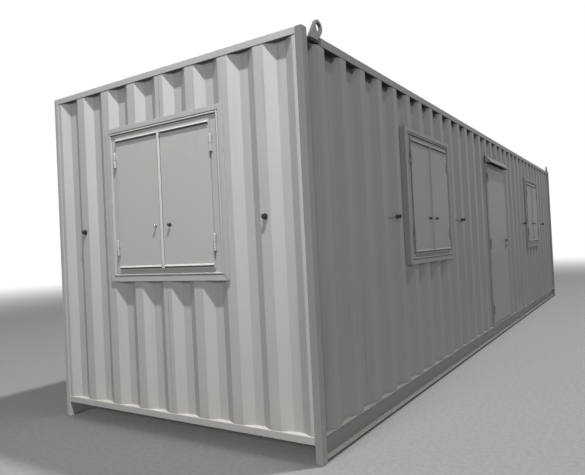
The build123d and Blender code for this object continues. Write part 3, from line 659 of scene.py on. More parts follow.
@dataclass
class Finishes:
    """All materials of the cabin.

    Attributes:
        groups: Shared shader groups.
    """

    groups: ShaderGroups = field(default_factory=ShaderGroups)

    def __post_init__(self) -> None:
        """Builds every material once."""
        paint = (0.305, 0.298, 0.292, 1.0)
        groups = self.groups
        # The wall paint carries painted shade in the valleys under the top side rails.
        self.wall = PaintFinish(
            "wall_paint", paint, roughness=0.4, variation=0.12, eave_grime=0.96,
        ).build(groups)
        self.frame = PaintFinish(
            "frame_paint", (0.3, 0.295, 0.29, 1.0), roughness=0.42, streaks=0.15, chips=0.7,
        ).build(groups)
        self.leaf = PaintFinish(
            "leaf_paint", (0.32, 0.312, 0.302, 1.0), roughness=0.4, variation=0.07, streaks=0.12, chips=0.2,
            dust_wall=0.12,
        ).build(groups)
        self.weld = PaintFinish(
            "painted_weld", paint, roughness=0.34, variation=0.1, bump=0.0006, streaks=0.1, chips=0.5,
        ).build(groups)
        self.roof = PaintFinish(
            "roof_paint", (0.27, 0.268, 0.262, 1.0), roughness=0.5, dust_ledge=0.55, streaks=0.1,
        ).build(groups)
        # Near-black underframe paint, real on the floor joists; it also colours the painted-shade strips
        # under the top side rails and inside the door hood.
        self.under = PaintFinish(
            "underframe_paint", (0.035, 0.035, 0.036, 1.0), roughness=0.6, dust_wall=0.5, chips=0.8,
        ).build(groups)
        self.rubber = SpeckleFinish(
            "black_rubber", grey(0.008), grey(0.02), 220.0, 0.55, sheen=0.1,
        ).build(groups)
        self.black = SpeckleFinish(
            "black_handle_paint", grey(0.01), grey(0.022), 300.0, 0.4, bump=0.0001,
        ).build(groups)
        self.steel = SpeckleFinish(
            "bare_steel", grey(0.42), grey(0.55), 180.0, 0.3, metallic=1.0, bump=0.0001,
        ).build(groups)
        self.board = SpeckleFinish(
            "white_board", grey(0.66, 0.01), grey(0.74, 0.01), 90.0, 0.55, bump=0.0002,
        ).build(groups)
        self.plastic = SpeckleFinish(
            "white_window_frame", grey(0.72, 0.005), grey(0.78, 0.005), 120.0, 0.35, bump=0.0001,
        ).build(groups)
        self.vinyl = SpeckleFinish(
            "grey_vinyl_floor", grey(0.1, 0.03), grey(0.19, 0.03), 240.0, 0.5,
        ).build(groups)
        self.grit = SpeckleFinish(
            "stone_grit", (0.3, 0.27, 0.24, 1.0), (0.55, 0.52, 0.48, 1.0), 120.0, 0.9, bump=0.001,
        ).build(groups)
        self.glass = GlassFinish("window_glass").build(groups)


# Mesh helpers


def block(low: Sequence[float], high: Sequence[float]) -> BMesh:
    """Makes a plain block between two corners.

    Args:
        low: Lowest corner.
        high: Highest corner.

    Returns:
        Its mesh.
    """
    form = bmesh.new()
    bmesh.ops.create_cube(form, size=1.0)
    for vertex in form.verts:
        vertex.co = Vector([low[i] + (vertex.co[i] + 0.5) * (high[i] - low[i]) for i in range(3)])
    return form


def bevel(form: BMesh, edges: Iterable, radius: float, steps: int) -> None:
    """Rounds some edges of a mesh."""
    bmesh.ops.bevel(form, geom=list(edges), offset=radius, segments=steps, profile=0.5, affect="EDGES")


def bridge(form: BMesh, near: Sequence, far: Sequence) -> None:
    """Joins two closed loops of as many corners by faces.

    Args:
        form: Mesh of both loops.
        near: Corners of the first loop.
        far: Corners of the second loop.
    """
    for step in range(len(near)):
        after = (step + 1) % len(near)
        form.faces.new((near[step], near[after], far[after], far[step]))


def turning(*axes: Sequence[float]) -> Matrix:
    """Matrix that turns x, y and z to three axes."""
    return Matrix(axes).transposed().to_4x4()


class Shape:
    """Closed mesh of one piece, put together from simple forms in local coordinates."""

    def __init__(self, place: Optional[Matrix] = None) -> None:
        """Starts an empty shape with its matrix from local to world coordinates."""
        self.mesh = bmesh.new()
        self.place = place or Matrix.Identity(4)

    def join(self, form: BMesh) -> "Shape":
        """Adds another mesh's faces and frees it.

        Args:
            form: Mesh to add.

        Returns:
            This shape.
        """
        bmesh.ops.recalc_face_normals(form, faces=form.faces)
        holder = bpy.data.meshes.new("joined_form")
        form.to_mesh(holder)
        form.free()
        self.mesh.from_mesh(holder)
        bpy.data.meshes.remove(holder)
        return self

    def box(
        self, low: Sequence[float], high: Sequence[float], edge: float = 0.002, steps: int = 2,
    ) -> "Shape":
        """Adds a block with rounded edges.

        Args:
            low: Lowest corner.
            high: Highest corner.
            edge: Edge radius.
            steps: Faces across each rounding.

        Returns:
            This shape.
        """
        form = block(low, high)
        least = min(high[i] - low[i] for i in range(3))
        bevel(form, form.edges, min(edge, least * 0.45), steps)
        return self.join(form)

    def bar(
        self, low: Sequence[float], high: Sequence[float], run: Run, radius: float, end: float = 0.001,
    ) -> "Shape":
        """Adds a hollow-section bar: large radii along it and small ones at its ends.

        Args:
            low: Lowest corner.
            high: Highest corner.
            run: Direction it runs in.
            radius: Radius of the long edges.
            end: Radius of the end edges.

        Returns:
            This shape.
        """
        form = block(low, high)

        def length(edge: bmesh.types.BMEdge) -> float:
            """How far an edge goes in the bar's direction."""
            return abs((edge.verts[0].co - edge.verts[1].co)[run.value])

        bevel(form, [edge for edge in form.edges if length(edge) > 1e-6], radius, 4)
        bevel(form, [edge for edge in form.edges if length(edge) < 1e-6], end, 1)
        return self.join(form)

    def prism(
        self, outline: Sequence[Point2], start: float, end: float,
        axes: Callable[[float, float, float], Sequence[float]], end_edge: float = 0.0,
    ) -> "Shape":
        """Adds a bar with the given cross-section.

        Args:
            outline: Corners of the cross-section.
            start: Where it starts along its run.
            end: Where it ends along its run.
            axes: Turns (a, b, run) into local coordinates.
            end_edge: Small chamfer at both ends.

        Returns:
            This shape.
        """
        form = bmesh.new()
        loops = [[form.verts.new(axes(a, b, station)) for a, b in outline] for station in (start, end)]
        bridge(form, *loops)
        caps = [form.faces.new(loop) for loop in loops]
        if end_edge > 0:
            bevel(form, {edge for cap in caps for edge in cap.edges}, end_edge, 1)
        return self.join(form)

    def lathe(self, profile: Sequence[Point2], base: Vector, axis: Vector, sides: int = 24) -> "Shape":
        """Adds a turned form.

        Args:
            profile: (radius, height) pairs from the base's middle to the tip's middle.
            base: Point on the axis at height 0.
            axis: Direction of the axis.
            sides: Faces round it.

        Returns:
            This shape.
        """
        form = bmesh.new()
        axis = axis.normalized()
        across = axis.orthogonal().normalized()
        other = axis.cross(across)
        rings = []
        for radius, height in profile:
            centre = base + axis * height
            if radius < 1e-7:
                rings.append([form.verts.new(centre)])
                continue
            ring = []
            for step in range(sides):
                angle = 2 * math.pi * step / sides
                ring.append(
                    form.verts.new(centre + (across * math.cos(angle) + other * math.sin(angle)) * radius)
                )
            rings.append(ring)
        for lower, upper in zip(rings, rings[1:]):
            if len(lower) == len(upper):
                bridge(form, lower, upper)
                continue
            ring, pole = (upper[::-1], lower[0]) if len(lower) == 1 else (lower, upper[0])
            for step, corner in enumerate(ring):
                form.faces.new((corner, ring[(step + 1) % sides], pole))
        return self.join(form)

    def ring(self, profile: Sequence[tuple[float, float, float]], width: float, height: float) -> "Shape":
        """Adds a mitred rectangular frame in the u, v plane.

        Args:
            profile: Closed cross-section as (inset at the sides, inset at top and bottom, w).
            width: Outer width.
            height: Outer height.

        Returns:
            This shape.
        """
        form = bmesh.new()
        loops = []
        for side_u, side_v in ((-1, -1), (1, -1), (1, 1), (-1, 1)):
            spots = [(side_u * (width / 2 - a), side_v * (height / 2 - b), w) for a, b, w in profile]
            loops.append([form.verts.new(spot) for spot in spots])
        for index in range(4):
            bridge(form, loops[index], loops[(index + 1) % 4])
        return self.join(form)

    def piece(
        self, name: str, material: Material, node: str = "", body: str = "cabin", slot: str = PAINT_SLOT,
    ) -> None:
        """Makes the finished object.

        Args:
            name: Object's name.
            material: Its material.
            node: Node that it replaces, if any.
            body: Body that it rides on.
            slot: Record slot of its finish; not used.
        """
        self.mesh.transform(self.place)
        mesh = bpy.data.meshes.new(name)
        self.mesh.to_mesh(mesh)
        self.mesh.free()
        piece = place_mesh(mesh, name, material, body)
        if node:
            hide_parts(node)


def place_mesh(
    mesh: Mesh, name: str, material: Material, body: str, smooth: float = 32.0,
) -> Object:
    """Links a mesh that is already in place and lets it ride on its body.

    Args:
        mesh: Finished mesh in world coordinates.
        name: Object's name.
        material: Its material.
        body: Body that it rides on.
        smooth: Angle in degrees over which an edge stays sharp.

    Returns:
        The new object.
    """
    mesh.materials.clear()
    mesh.materials.append(material)
    mesh.polygons.foreach_set("use_smooth", [True] * len(mesh.polygons))
    mesh.set_sharp_from_angle(angle=math.radians(smooth))
    piece = bpy.data.objects.new(name, mesh)
    bpy.context.scene.collection.objects.link(piece)
    even = piece.modifiers.new("even_shading", "WEIGHTED_NORMAL")
    even.keep_sharp = True
    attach(piece, body)
    log.info("%s: %d faces on %s", name, len(mesh.polygons), body)
    return piece


def dress(node: str, material: Material) -> None:
    """Gives a node of the frame its material.

    Args:
        node: Node's name.
        material: Material for all of it.
    """
    mesh = frame["nodes"][node].data
    mesh.materials.clear()
    mesh.materials.append(material)
    log.info("%s: kept with %s", node, material.name)


def run_first(a: float, b: float, run: float) -> tuple[float, float, float]:
    """Place on a bar that runs along the first axis."""
    return (run, a, b)


def run_second(a: float, b: float, run: float) -> tuple[float, float, float]:
    """Place on a bar that runs along the second axis."""
    return (a, run, b)


def arc(centre: Point2, radius: float, start: float, end: float, steps: int = 4) -> list[Point2]:
    """Points of an arc, angles in degrees.

    Args:
        centre: Its centre.
        radius: Its radius.
        start: First angle.
        end: Last angle.
        steps: Number of pieces.

    Returns:
        The points, first to last.
    """
    points = []
    for step in range(steps + 1):
        angle = math.radians(start + (end - start) * step / steps)
        points.append((centre[0] + radius * math.cos(angle), centre[1] + radius * math.sin(angle)))
    return points


# Geometry Nodes trees


def new_tree(name: str, inputs: dict) -> tuple[NodeTree, Wiring, Sequence[NodeSocket]]:
    """Makes an empty Geometry Nodes tree with named inputs.

    Args:
        name: Tree's name.
        inputs: Default value of each input after the geometry, by name.

    Returns:
        The tree, its wiring and the values given to it.
    """
    tree = bpy.data.node_groups.new(name, "GeometryNodeTree")
    tree.interface.new_socket("Geometry", in_out="INPUT", socket_type="NodeSocketGeometry")
    add_inputs(tree, inputs)
    tree.interface.new_socket("Geometry", in_out="OUTPUT", socket_type="NodeSocketGeometry")
    wire = Wiring(tree)
    return tree, wire, wire.node("NodeGroupInput").outputs


def close_tree(wire: Wiring, material: NodeSocket, geometry: NodeSocket) -> None:
    """Ends a tree in Realize Instances and Set Material.

    Args:
        wire: Tree's wiring.
        material: Material given to the tree.
        geometry: Geometry that it has made.
    """
    real = wire.out("GeometryNodeRealizeInstances", {"Geometry": geometry})
    coated = wire.out("GeometryNodeSetMaterial", {"Geometry": real, "Material": material})
    wire.node("NodeGroupOutput", {0: coated})


def folded_sheet_tree() -> NodeTree:
    """Sheet folded into a trapezoid wave along x, with the fold depth along y and its height along z.

    Returns:
        The tree.
    """
    inputs = {
        "Count": 8, "Pitch": 0.29, "First": 0.2, "Flat": 0.07, "Flank": 0.07, "Start": 0.0, "End": 2.0,
        "Base": 0.0, "Bump": 0.036, "Fold Radius": 0.012, "Fold Steps": 3, "Height": 2.4, "Rows": 30,
        "Waviness": 0.001, "Seed": 1.0, "Material": None,
    }
    tree, wire, given = new_tree("FoldedSheet", inputs)
    total = wire.math("MULTIPLY_ADD", given["Count"], 4.0, 2.0)
    line = wire.out("GeometryNodeMeshLine", {"Count": total}, mode="OFFSET")
    index = wire.node("GeometryNodeInputIndex").outputs[0]
    place = wire.math("SUBTRACT", index, 1.0)
    number = wire.math("FLOOR", wire.math("DIVIDE", place, 4.0))
    corner = wire.math("SUBTRACT", place, wire.math("MULTIPLY", number, 4.0))
    offset = wire.math("SUBTRACT", corner, 1.5)
    side = wire.math("SIGN", offset)
    outer = wire.math("GREATER_THAN", wire.math("ABSOLUTE", offset), 1.0)
    reach = wire.math("MULTIPLY_ADD", outer, given["Flank"], wire.math("DIVIDE", given["Flat"], 2.0))
    middle = wire.math("MULTIPLY_ADD", number, given["Pitch"], given["First"])
    wave_x = wire.math("MULTIPLY_ADD", side, reach, middle)
    wave_y = wire.math(
        "MULTIPLY_ADD", outer, wire.math("SUBTRACT", given["Base"], given["Bump"]), given["Bump"],
    )
    is_first = wire.math("LESS_THAN", index, 0.5)
    is_last = wire.math("GREATER_THAN", index, wire.math("SUBTRACT", total, 1.5))
    is_end = wire.math("MAXIMUM", is_first, is_last)
    end_x = wire.math(
        "MULTIPLY_ADD", is_last, wire.math("SUBTRACT", given["End"], given["Start"]), given["Start"],
    )
    x = wire.math("MULTIPLY_ADD", is_end, wire.math("SUBTRACT", end_x, wave_x), wave_x)
    y = wire.math("MULTIPLY_ADD", is_end, wire.math("SUBTRACT", given["Base"], wave_y), wave_y)
    placed = wire.out("GeometryNodeSetPosition", {"Geometry": line, "Position": wire.combine(x, y, 0.0)})
    path = wire.out("GeometryNodeMeshToCurve", {"Mesh": placed})
    folds = {
        "Curve": path, "Count": given["Fold Steps"], "Radius": given["Fold Radius"], "Limit Radius": True,
    }
    rounded = wire.out("GeometryNodeFilletCurve", folds, mode="POLY")
    drop = wire.combine(0.0, wire.math("MULTIPLY", given["Height"], -1.0), 0.0)
    upright = wire.out("GeometryNodeCurvePrimitiveLine", {"End": drop})
    count = wire.math("ADD", given["Rows"], 1.0)
    rows = wire.out("GeometryNodeResampleCurve", {"Curve": upright, "Count": count})
    swept = wire.out("GeometryNodeCurveToMesh", {"Curve": rounded, "Profile Curve": rows})
    normal = wire.out("GeometryNodeInputNormal")
    spot = wire.out("GeometryNodeInputPosition")
    away = wire.combine(given["Seed"], given["Seed"], 0.0)
    moved = wire.out("ShaderNodeVectorMath", {0: spot, 1: away}, operation="ADD")
    swell = wire.math("SUBTRACT", wire.noise(moved, 2.2, 2.0), 0.5)
    amount = wire.math("MULTIPLY", swell, given["Waviness"])
    push = wire.out("ShaderNodeVectorMath", {0: normal, 3: amount}, operation="SCALE")
    waved = wire.out("GeometryNodeSetPosition", {"Geometry": swept, "Offset": push})
    close_tree(wire, given["Material"], waved)
    return tree


def weld_bead_tree() -> NodeTree:
    """Rippled weld bead along every edge of the input mesh.

    Returns:
        The tree.
    """
    inputs = {"Radius": 0.0026, "Ripple": 0.004, "Unevenness": 0.3, "Seed": 3, "Material": None}
    tree, wire, given = new_tree("WeldBead", inputs)
    path = wire.out("GeometryNodeMeshToCurve", {"Mesh": given["Geometry"]})
    points = wire.out("GeometryNodeResampleCurve", {"Curve": path, "Length": given["Ripple"]}, mode="LENGTH")
    index = wire.out("GeometryNodeInputIndex")
    even = wire.math("MULTIPLY", wire.math("FRACT", wire.math("DIVIDE", index, 2.0)), 0.3)
    chance = wire.chance(0.0, 1.0, given["Seed"])
    rough = wire.math("MULTIPLY", wire.math("SUBTRACT", chance, 0.5), given["Unevenness"])
    size = wire.math("MULTIPLY", wire.math("ADD", wire.math("ADD", even, rough), 0.95), given["Radius"])
    sized = wire.out("GeometryNodeSetCurveRadius", {"Curve": points, "Radius": size})
    section = wire.out("GeometryNodeCurvePrimitiveCircle", {"Resolution": 6, "Radius": 1.0})
    beaded = {"Curve": sized, "Profile Curve": section, "Fill Caps": True}
    scaled = wire.node("GeometryNodeCurveToMesh", beaded)
    if "Scale" in scaled.inputs:
        wire.feed(scaled.inputs["Scale"], size)
    close_tree(wire, given["Material"], scaled.outputs[0])
    return tree


def scatter_tree() -> NodeTree:
    """Small lumps scattered over the faces of the input mesh.

    Returns:
        The tree.
    """
    inputs = {
        "Density": 200.0, "Smallest": 0.001, "Largest": 0.004, "Flatness": 0.7, "Seed": 5, "Material": None,
    }
    tree, wire, given = new_tree("ScatteredLumps", inputs)
    seed = given["Seed"]
    spread = {"Mesh": given["Geometry"], "Density": given["Density"], "Seed": seed}
    spots = wire.out("GeometryNodeDistributePointsOnFaces", spread)
    lump = wire.out("GeometryNodeMeshIcoSphere", {"Radius": 1.0, "Subdivisions": 1})
    size = wire.chance(given["Smallest"], given["Largest"], seed)
    stretch = wire.chance(0.7, 1.5, wire.math("ADD", seed, 7.0))
    scale = wire.combine(
        wire.math("MULTIPLY", size, stretch), size, wire.math("MULTIPLY", size, given["Flatness"]),
    )
    angles = {0: (0, 0, 0), 1: (0.4, 0.4, 6.28), "Seed": wire.math("ADD", seed, 3.0)}
    turn = wire.out("FunctionNodeRandomValue", angles, data_type="FLOAT_VECTOR")
    lumps = {"Points": spots, "Instance": lump, "Rotation": turn, "Scale": scale}
    close_tree(wire, given["Material"], wire.out("GeometryNodeInstanceOnPoints", lumps))
    return tree


@dataclass
class Trees:
    """Geometry Nodes trees of the repeated and rule-made pieces.

    Attributes:
        folded: Folded sheet.
        weld: Bead along lines.
        scatter: Strewn stones.
    """

    folded: NodeTree = field(default_factory=folded_sheet_tree)
    weld: NodeTree = field(default_factory=weld_bead_tree)
    scatter: NodeTree = field(default_factory=scatter_tree)


def grown_mesh(tree: NodeTree, values: dict, seed_mesh: Optional[Mesh] = None) -> Mesh:
    """Runs a Geometry Nodes tree and returns its result as a plain mesh.

    Args:
        tree: Tree to run.
        values: Value of each named input.
        seed_mesh: Mesh that goes in, or nothing for an empty one.

    Returns:
        A new mesh with no modifier.
    """
    source = seed_mesh or bpy.data.meshes.new("seed_mesh")
    carrier = bpy.data.objects.new("carrier", source)
    bpy.context.scene.collection.objects.link(carrier)
    modifier = carrier.modifiers.new("grow", "NODES")
    modifier.node_group = tree
    sockets = {item.name: item.identifier for item in tree.interface.items_tree if item.in_out == "INPUT"}
    for name, value in values.items():
        modifier[sockets[name]] = value
    graph = bpy.context.evaluated_depsgraph_get()
    graph.update()
    mesh = bpy.data.meshes.new_from_object(carrier.evaluated_get(graph), depsgraph=graph)
    bpy.data.objects.remove(carrier)
    return mesh


def line_mesh(paths: Iterable[Sequence[Vector]]) -> Mesh:
    """Makes a mesh of edges only, one chain for each path.

    Args:
        paths: Points of each chain.

    Returns:
        The new mesh.
    """
    points: list[Vector] = []
    edges: list[tuple[int, int]] = []
    for path in paths:
        start = len(points)
        points.extend(path)
        edges.extend((start + step, start + step + 1) for step in range(len(path) - 1))
    mesh = bpy.data.meshes.new("line_seed")
    mesh.from_pydata([tuple(point) for point in points], edges, [])
    return mesh


# Sub-assemblies


@dataclass
class WeldSeams:
    """Painted weld beads, gathered path by path and made once for each body.

    Attributes:
        trees: Geometry Nodes trees.
        finishes: Materials.
        radius: Bead radius.
        paths: Points of each bead, by body.
    """

    trees: Trees
    finishes: Finishes
    radius: float = 0.0024
    paths: dict = field(default_factory=dict)

    def add(self, body: str, *points: Sequence[float]) -> None:
        """Adds one bead through the points, for the given body."""
        self.paths.setdefault(body, []).append([Vector(point) for point in points])

    def build(self) -> None:
        """Makes one piece of beads for each body."""
        for number, (body, paths) in enumerate(sorted(self.paths.items())):
            values = {"Radius": self.radius, "Seed": 11 + number, "Material": self.finishes.weld}
            mesh = grown_mesh(self.trees.weld, values, line_mesh(paths))
            place_mesh(mesh, f"weld_beads_{body}", self.finishes.weld, body, 60.0)


@dataclass
class SubAssembly:
    """What every sub-assembly works with.

    Attributes:
        plan: Cabin's corners and levels.
        finishes: Materials.
        trees: Geometry Nodes trees.
        welds: Beads to add to.
    """

    plan: CabinPlan
    finishes: Finishes
    trees: Trees
    welds: WeldSeams

    def end_rails(self, node: str) -> None:
        """Makes the rails across both ends.

        Args:
            node: Node that they replace.
        """
        low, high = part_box(node)
        rails = Shape()
        rails.bar(low, (low.x + RAIL_DEPTH, high.y, high.z), Run.Y, 0.004)
        rails.bar((high.x - RAIL_DEPTH, low.y, low.z), high, Run.Y, 0.004)
        rails.piece(f"{node}_steel", self.finishes.frame, node)


@dataclass
class CornerPosts(SubAssembly):
    """Four hollow-section corner posts with a seam on the window end's faces.

    Attributes:
        radius: Radius of the long edges.
        seam_in: Distance of the seam from the outer corner.
        seam_end: Distance of the seam's ends from the post's ends.
        seam_depth: Depth of the seam's middle behind the post's face.
    """

    radius: float = 0.005
    seam_in: float = 0.02
    seam_end: float = 0.02
    seam_depth: float = 0.0012

    def build(self) -> None:
        """Makes the posts and their seams."""
        plan = self.plan
        for name in ("front_left", "front_right", "back_left", "back_right"):
            node = f"corner_post_{name}"
            post = Shape().bar(*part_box(node), Run.Z, self.radius, 0.0025)
            post.piece(f"{node}_steel", self.finishes.frame, node)
        x = plan.x_left + self.seam_depth
        for y in (plan.y_front + self.seam_in, plan.y_back - self.seam_in):
            self.welds.add("cabin", (x, y, self.seam_end), (x, y, plan.top - self.seam_end))


@dataclass
class BaseFrame(SubAssembly):
    """Side channels, end rails, joists and deck.

    Attributes:
        web: Web thickness of the channels.
        flange: Flange thickness of the channels.
        root: Inner corner radius of the channels.
        toe: Rounding of the flange edges.
    """

    web: float = 0.006
    flange: float = 0.006
    root: float = 0.009
    toe: float = 0.0028

    def channel_outline(self, depth: float, low: float, high: float) -> list[Point2]:
        """Cross-section of a channel.

        Args:
            depth: Depth of the channel.
            low: Its lower level.
            high: Its upper level.

        Returns:
            Corners as (depth inwards, height).
        """
        toe, root = self.toe, self.root
        inner = depth - self.web
        points = arc((toe, high - toe), toe, 180, 90, 3)
        points += [(depth, high), (depth, low)]
        points += arc((toe, low + toe), toe, 270, 180, 3)
        points += arc((toe, low + self.flange - toe), toe, 180, 90, 3)
        points += arc((inner - root, low + self.flange + root), root, 270, 360, 5)
        points += arc((inner - root, high - self.flange - root), root, 0, 90, 5)
        points += arc((toe, high - self.flange + toe), toe, 270, 180, 3)
        return points

    def build(self) -> None:
        """Makes the base frame."""
        low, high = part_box("base_side_rails")
        outline = self.channel_outline(RAIL_DEPTH, low.z, high.z)
        rails = Shape()
        rails.prism([(self.plan.y_front + d, z) for d, z in outline], low.x, high.x, run_first)
        rails.prism([(self.plan.y_back - d, z) for d, z in outline], low.x, high.x, run_first)
        rails.piece("base_side_channels", self.finishes.frame, "base_side_rails")
        self.end_rails("base_end_rails")
        dress("floor_joists", self.finishes.under)
        dress("floor_deck", self.finishes.vinyl)
        self.grit(low.z + self.flange)

    def grit(self, top: float) -> None:
        """Strews stone grit along the lower flange of the front channel.

        Args:
            top: Level of the flange's upper face.
        """
        from_ends, from_edge, reach = 0.065, 0.002, 0.03
        left, right = self.plan.x_left + from_ends, self.plan.x_right - from_ends
        near, far = self.plan.y_front + from_edge, self.plan.y_front + reach
        corners = [(left, near, top), (right, near, top), (right, far, top), (left, far, top)]
        seed = bpy.data.meshes.new("grit_seed")
        seed.from_pydata(corners, [], [(0, 1, 2, 3)])
        values = {"Density": 3600.0, "Smallest": 0.0012, "Largest": 0.0042, "Material": self.finishes.grit}
        mesh = grown_mesh(self.trees.scatter, values, seed)
        place_mesh(mesh, "grit_on_front_channel", self.finishes.grit, "cabin", 80.0)


@dataclass
class TopFrame(SubAssembly):
    """Top rails with their cut-back ends, seats and lifting eyes.

    Attributes:
        notch: Length of the cut at each end.
        depth: Depth of the side rails.
        seat_drop: Seat level below the rail's top.
        seat: Seat thickness.
        seat_back: Distance of the seat behind the rail's outer face.
        tie: Depth of the tie under the seat.
        eye_thickness: Thickness of an eye plate.
        foot_start: Distance from a post's outer face to the eye's foot.
        foot: Length of the eye's foot.
        head: Eye head's radius.
        bore: Eye bore's radius.
        lean: Distance of the head from the middle of the foot.
        rise: Height of the head's centre above the seat.
    """

    notch: float = 0.16
    depth: float = 0.06
    seat_drop: float = 0.03
    seat: float = 0.006
    seat_back: float = 0.012
    tie: float = 0.015
    eye_thickness: float = 0.02
    foot_start: float = 0.088
    foot: float = 0.1
    head: float = 0.048
    bore: float = 0.028
    lean: float = 0.062
    rise: float = 0.088

    def build(self) -> None:
        """Makes the top rails, the near-black painted-shade strips under them, and the eyes."""
        plan = self.plan
        low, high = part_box("top_side_rails")
        first, last = low.x + self.notch, high.x - self.notch
        seat_top = high.z - self.seat_drop
        seat_low = seat_top - self.seat
        rails = Shape()
        for near, far in ((low.y, low.y + self.depth), (high.y - self.depth, high.y)):
            rails.bar((first, near, low.z), (last, far, high.z), Run.X, 0.004)
            front = near == low.y
            tie = (far - self.tie, far) if front else (near, near + self.tie)
            seat = (near + self.seat_back, far) if front else (near, far - self.seat_back)
            for start, end in ((low.x, first), (last, high.x)):
                rails.box((start, tie[0], low.z), (end, tie[1], seat_low), 0.001, 1)
                rails.box((start, seat[0], seat_low), (end, seat[1], seat_top), 0.0015, 1)
        rails.piece("top_side_rails_steel", self.finishes.frame, "top_side_rails")
        # Painted shade: thin near-black strips under the top side rails darken the valleys where the rails'
        # shadow falls.
        painted_shade = Shape()
        first, last = first + 0.005, last - 0.005
        edge, reach = 0.004, 0.05
        strips = ((plan.y_front + edge, plan.y_front + reach), (plan.y_back - reach, plan.y_back - edge))
        for near, far in strips:
            painted_shade.box((first, near, low.z - 0.0012), (last, far, low.z + 0.0005), 0.0004, 1)
        painted_shade.piece("top_rail_grime", self.finishes.under, slot="dark_underframe")
        self.end_rails("top_end_rails")
        self.eyes()

    def foot_ends(self) -> tuple[float, float]:
        """Ends of an eye's foot along x, from the head's centre."""
        return -self.foot / 2 - self.lean, self.foot / 2 - self.lean

    def eye_radius(self, angle: float) -> float:
        """Distance from an eye's centre to its plate's edge: round the head or along the tapered foot.

        Args:
            angle: Direction in radians.

        Returns:
            The distance.
        """
        reach = self.head
        step = Vector((math.cos(angle), math.sin(angle)))
        left, right = [Vector((x, -self.rise)) for x in self.foot_ends()]
        edges = [(left, right)]
        for corner, sign in ((left, 1.0), (right, -1.0)):
            touch = math.atan2(corner.y, corner.x) - sign * math.acos(self.head / corner.length)
            edges.append((corner, Vector((math.cos(touch), math.sin(touch))) * self.head))
        for start, end in edges:
            side = end - start
            cross = step.x * side.y - step.y * side.x
            if abs(cross) < 1e-12:
                continue
            away = (start.x * side.y - start.y * side.x) / cross
            share = (start.x * step.y - start.y * step.x) / cross
            if away > reach and -1e-9 <= share <= 1 + 1e-9:
                reach = away
        return reach

    def eye_plate(self, place: Matrix) -> BMesh:
        """Mesh of one eye plate with softened edges.

        Args:
            place: Matrix from the head's centre (x towards the cabin's middle, y up, z out).

        Returns:
            The mesh, in world coordinates.
        """
        form = bmesh.new()
        half, soft = self.eye_thickness / 2, 0.0022
        angles = [2 * math.pi * step / 72 - math.pi for step in range(72)]
        angles = sorted(angles + [math.atan2(-self.rise, x) for x in self.foot_ends()])
        outer, inner = [], []
        for w, pull in ((-half, soft), (-half + soft, 0.0), (half - soft, 0.0), (half, soft)):
            level = Vector((0, 0, w))
            for angle in angles:
                way = Vector((math.cos(angle), math.sin(angle), 0))
                outer.append(form.verts.new(way * (self.eye_radius(angle) - pull) + level))
                inner.append(form.verts.new(way * (self.bore + pull * 0.7) + level))
        count = len(angles)
        loops = [outer[i:i + count] for i in range(0, 4 * count, count)]
        loops += [inner[i:i + count] for i in range(3 * count, -1, -count)]
        for near, far in zip(loops, loops[1:] + loops[:1]):
            bridge(form, near, far)
        form.transform(place)
        return form

    def eyes(self) -> None:
        """Makes the four lifting eyes and the beads round their feet."""
        plan = self.plan
        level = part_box("lifting_eyes")[0].z
        across = self.foot_start + self.foot / 2 + self.lean
        half = self.eye_thickness / 2
        shape = Shape()
        for x, inwards in ((plan.x_left + across, 1.0), (plan.x_right - across, -1.0)):
            turn = turning((inwards, 0, 0), UP, (0, -inwards, 0))
            toe = x - inwards * (self.lean + self.foot / 2)
            heel = x - inwards * (self.lean - self.foot / 2)
            past = heel + inwards * 0.004
            for y in (plan.y_front + half, plan.y_back - half):
                shape.join(self.eye_plate(Matrix.Translation((x, y, level + self.rise)) @ turn))
                inner = y + (half if y < 0 else -half)
                front, back = y - 0.008, y + 0.008
                self.welds.add("cabin", (toe, inner, level + 0.001), (heel, inner, level + 0.001))
                self.welds.add("cabin", (toe, front, level + 0.001), (toe, back, level + 0.001))
                self.welds.add("cabin", (past, front, level + 0.002), (past, back, level + 0.002))
        shape.piece("lifting_eyes_steel", self.finishes.frame, "lifting_eyes")


@dataclass(frozen=True)
class Wave:
    """Fold sizes of one wall's sheet.

    Attributes:
        count: Number of crests or recesses.
        pitch: Distance between them.
        first: Middle of the first one, along the wall.
        flat: Width of its flat.
        flank: Width of a flank along the wall.
        start: Where the sheet starts.
        end: Where the sheet ends.
        base: Depth of the flats between them, inwards.
        bump: Depth of their own flats, inwards.
    """

    count: int
    pitch: float
    first: float
    flat: float
    flank: float
    start: float
    end: float
    base: float
    bump: float

    def inputs(self) -> dict:
        """Inputs of the folded sheet's tree that take these sizes."""
        return {size.name.title(): getattr(self, size.name) for size in fields(self)}


@dataclass(frozen=True)
class Opening:
    """Rectangular hole in a wall's sheet.

    Attributes:
        left: Left edge along the wall.
        right: Right edge along the wall.
        low: Lower edge.
        high: Upper edge.
    """

    left: float
    right: float
    low: float
    high: float


@dataclass(frozen=True)
class Dent:
    """Shallow dent in a wall's sheet.

    Attributes:
        along: Its middle along the wall.
        height: Its middle above the ground.
        size: Its radius.
        depth: How far it goes in.
    """

    along: float
    height: float
    size: float
    depth: float


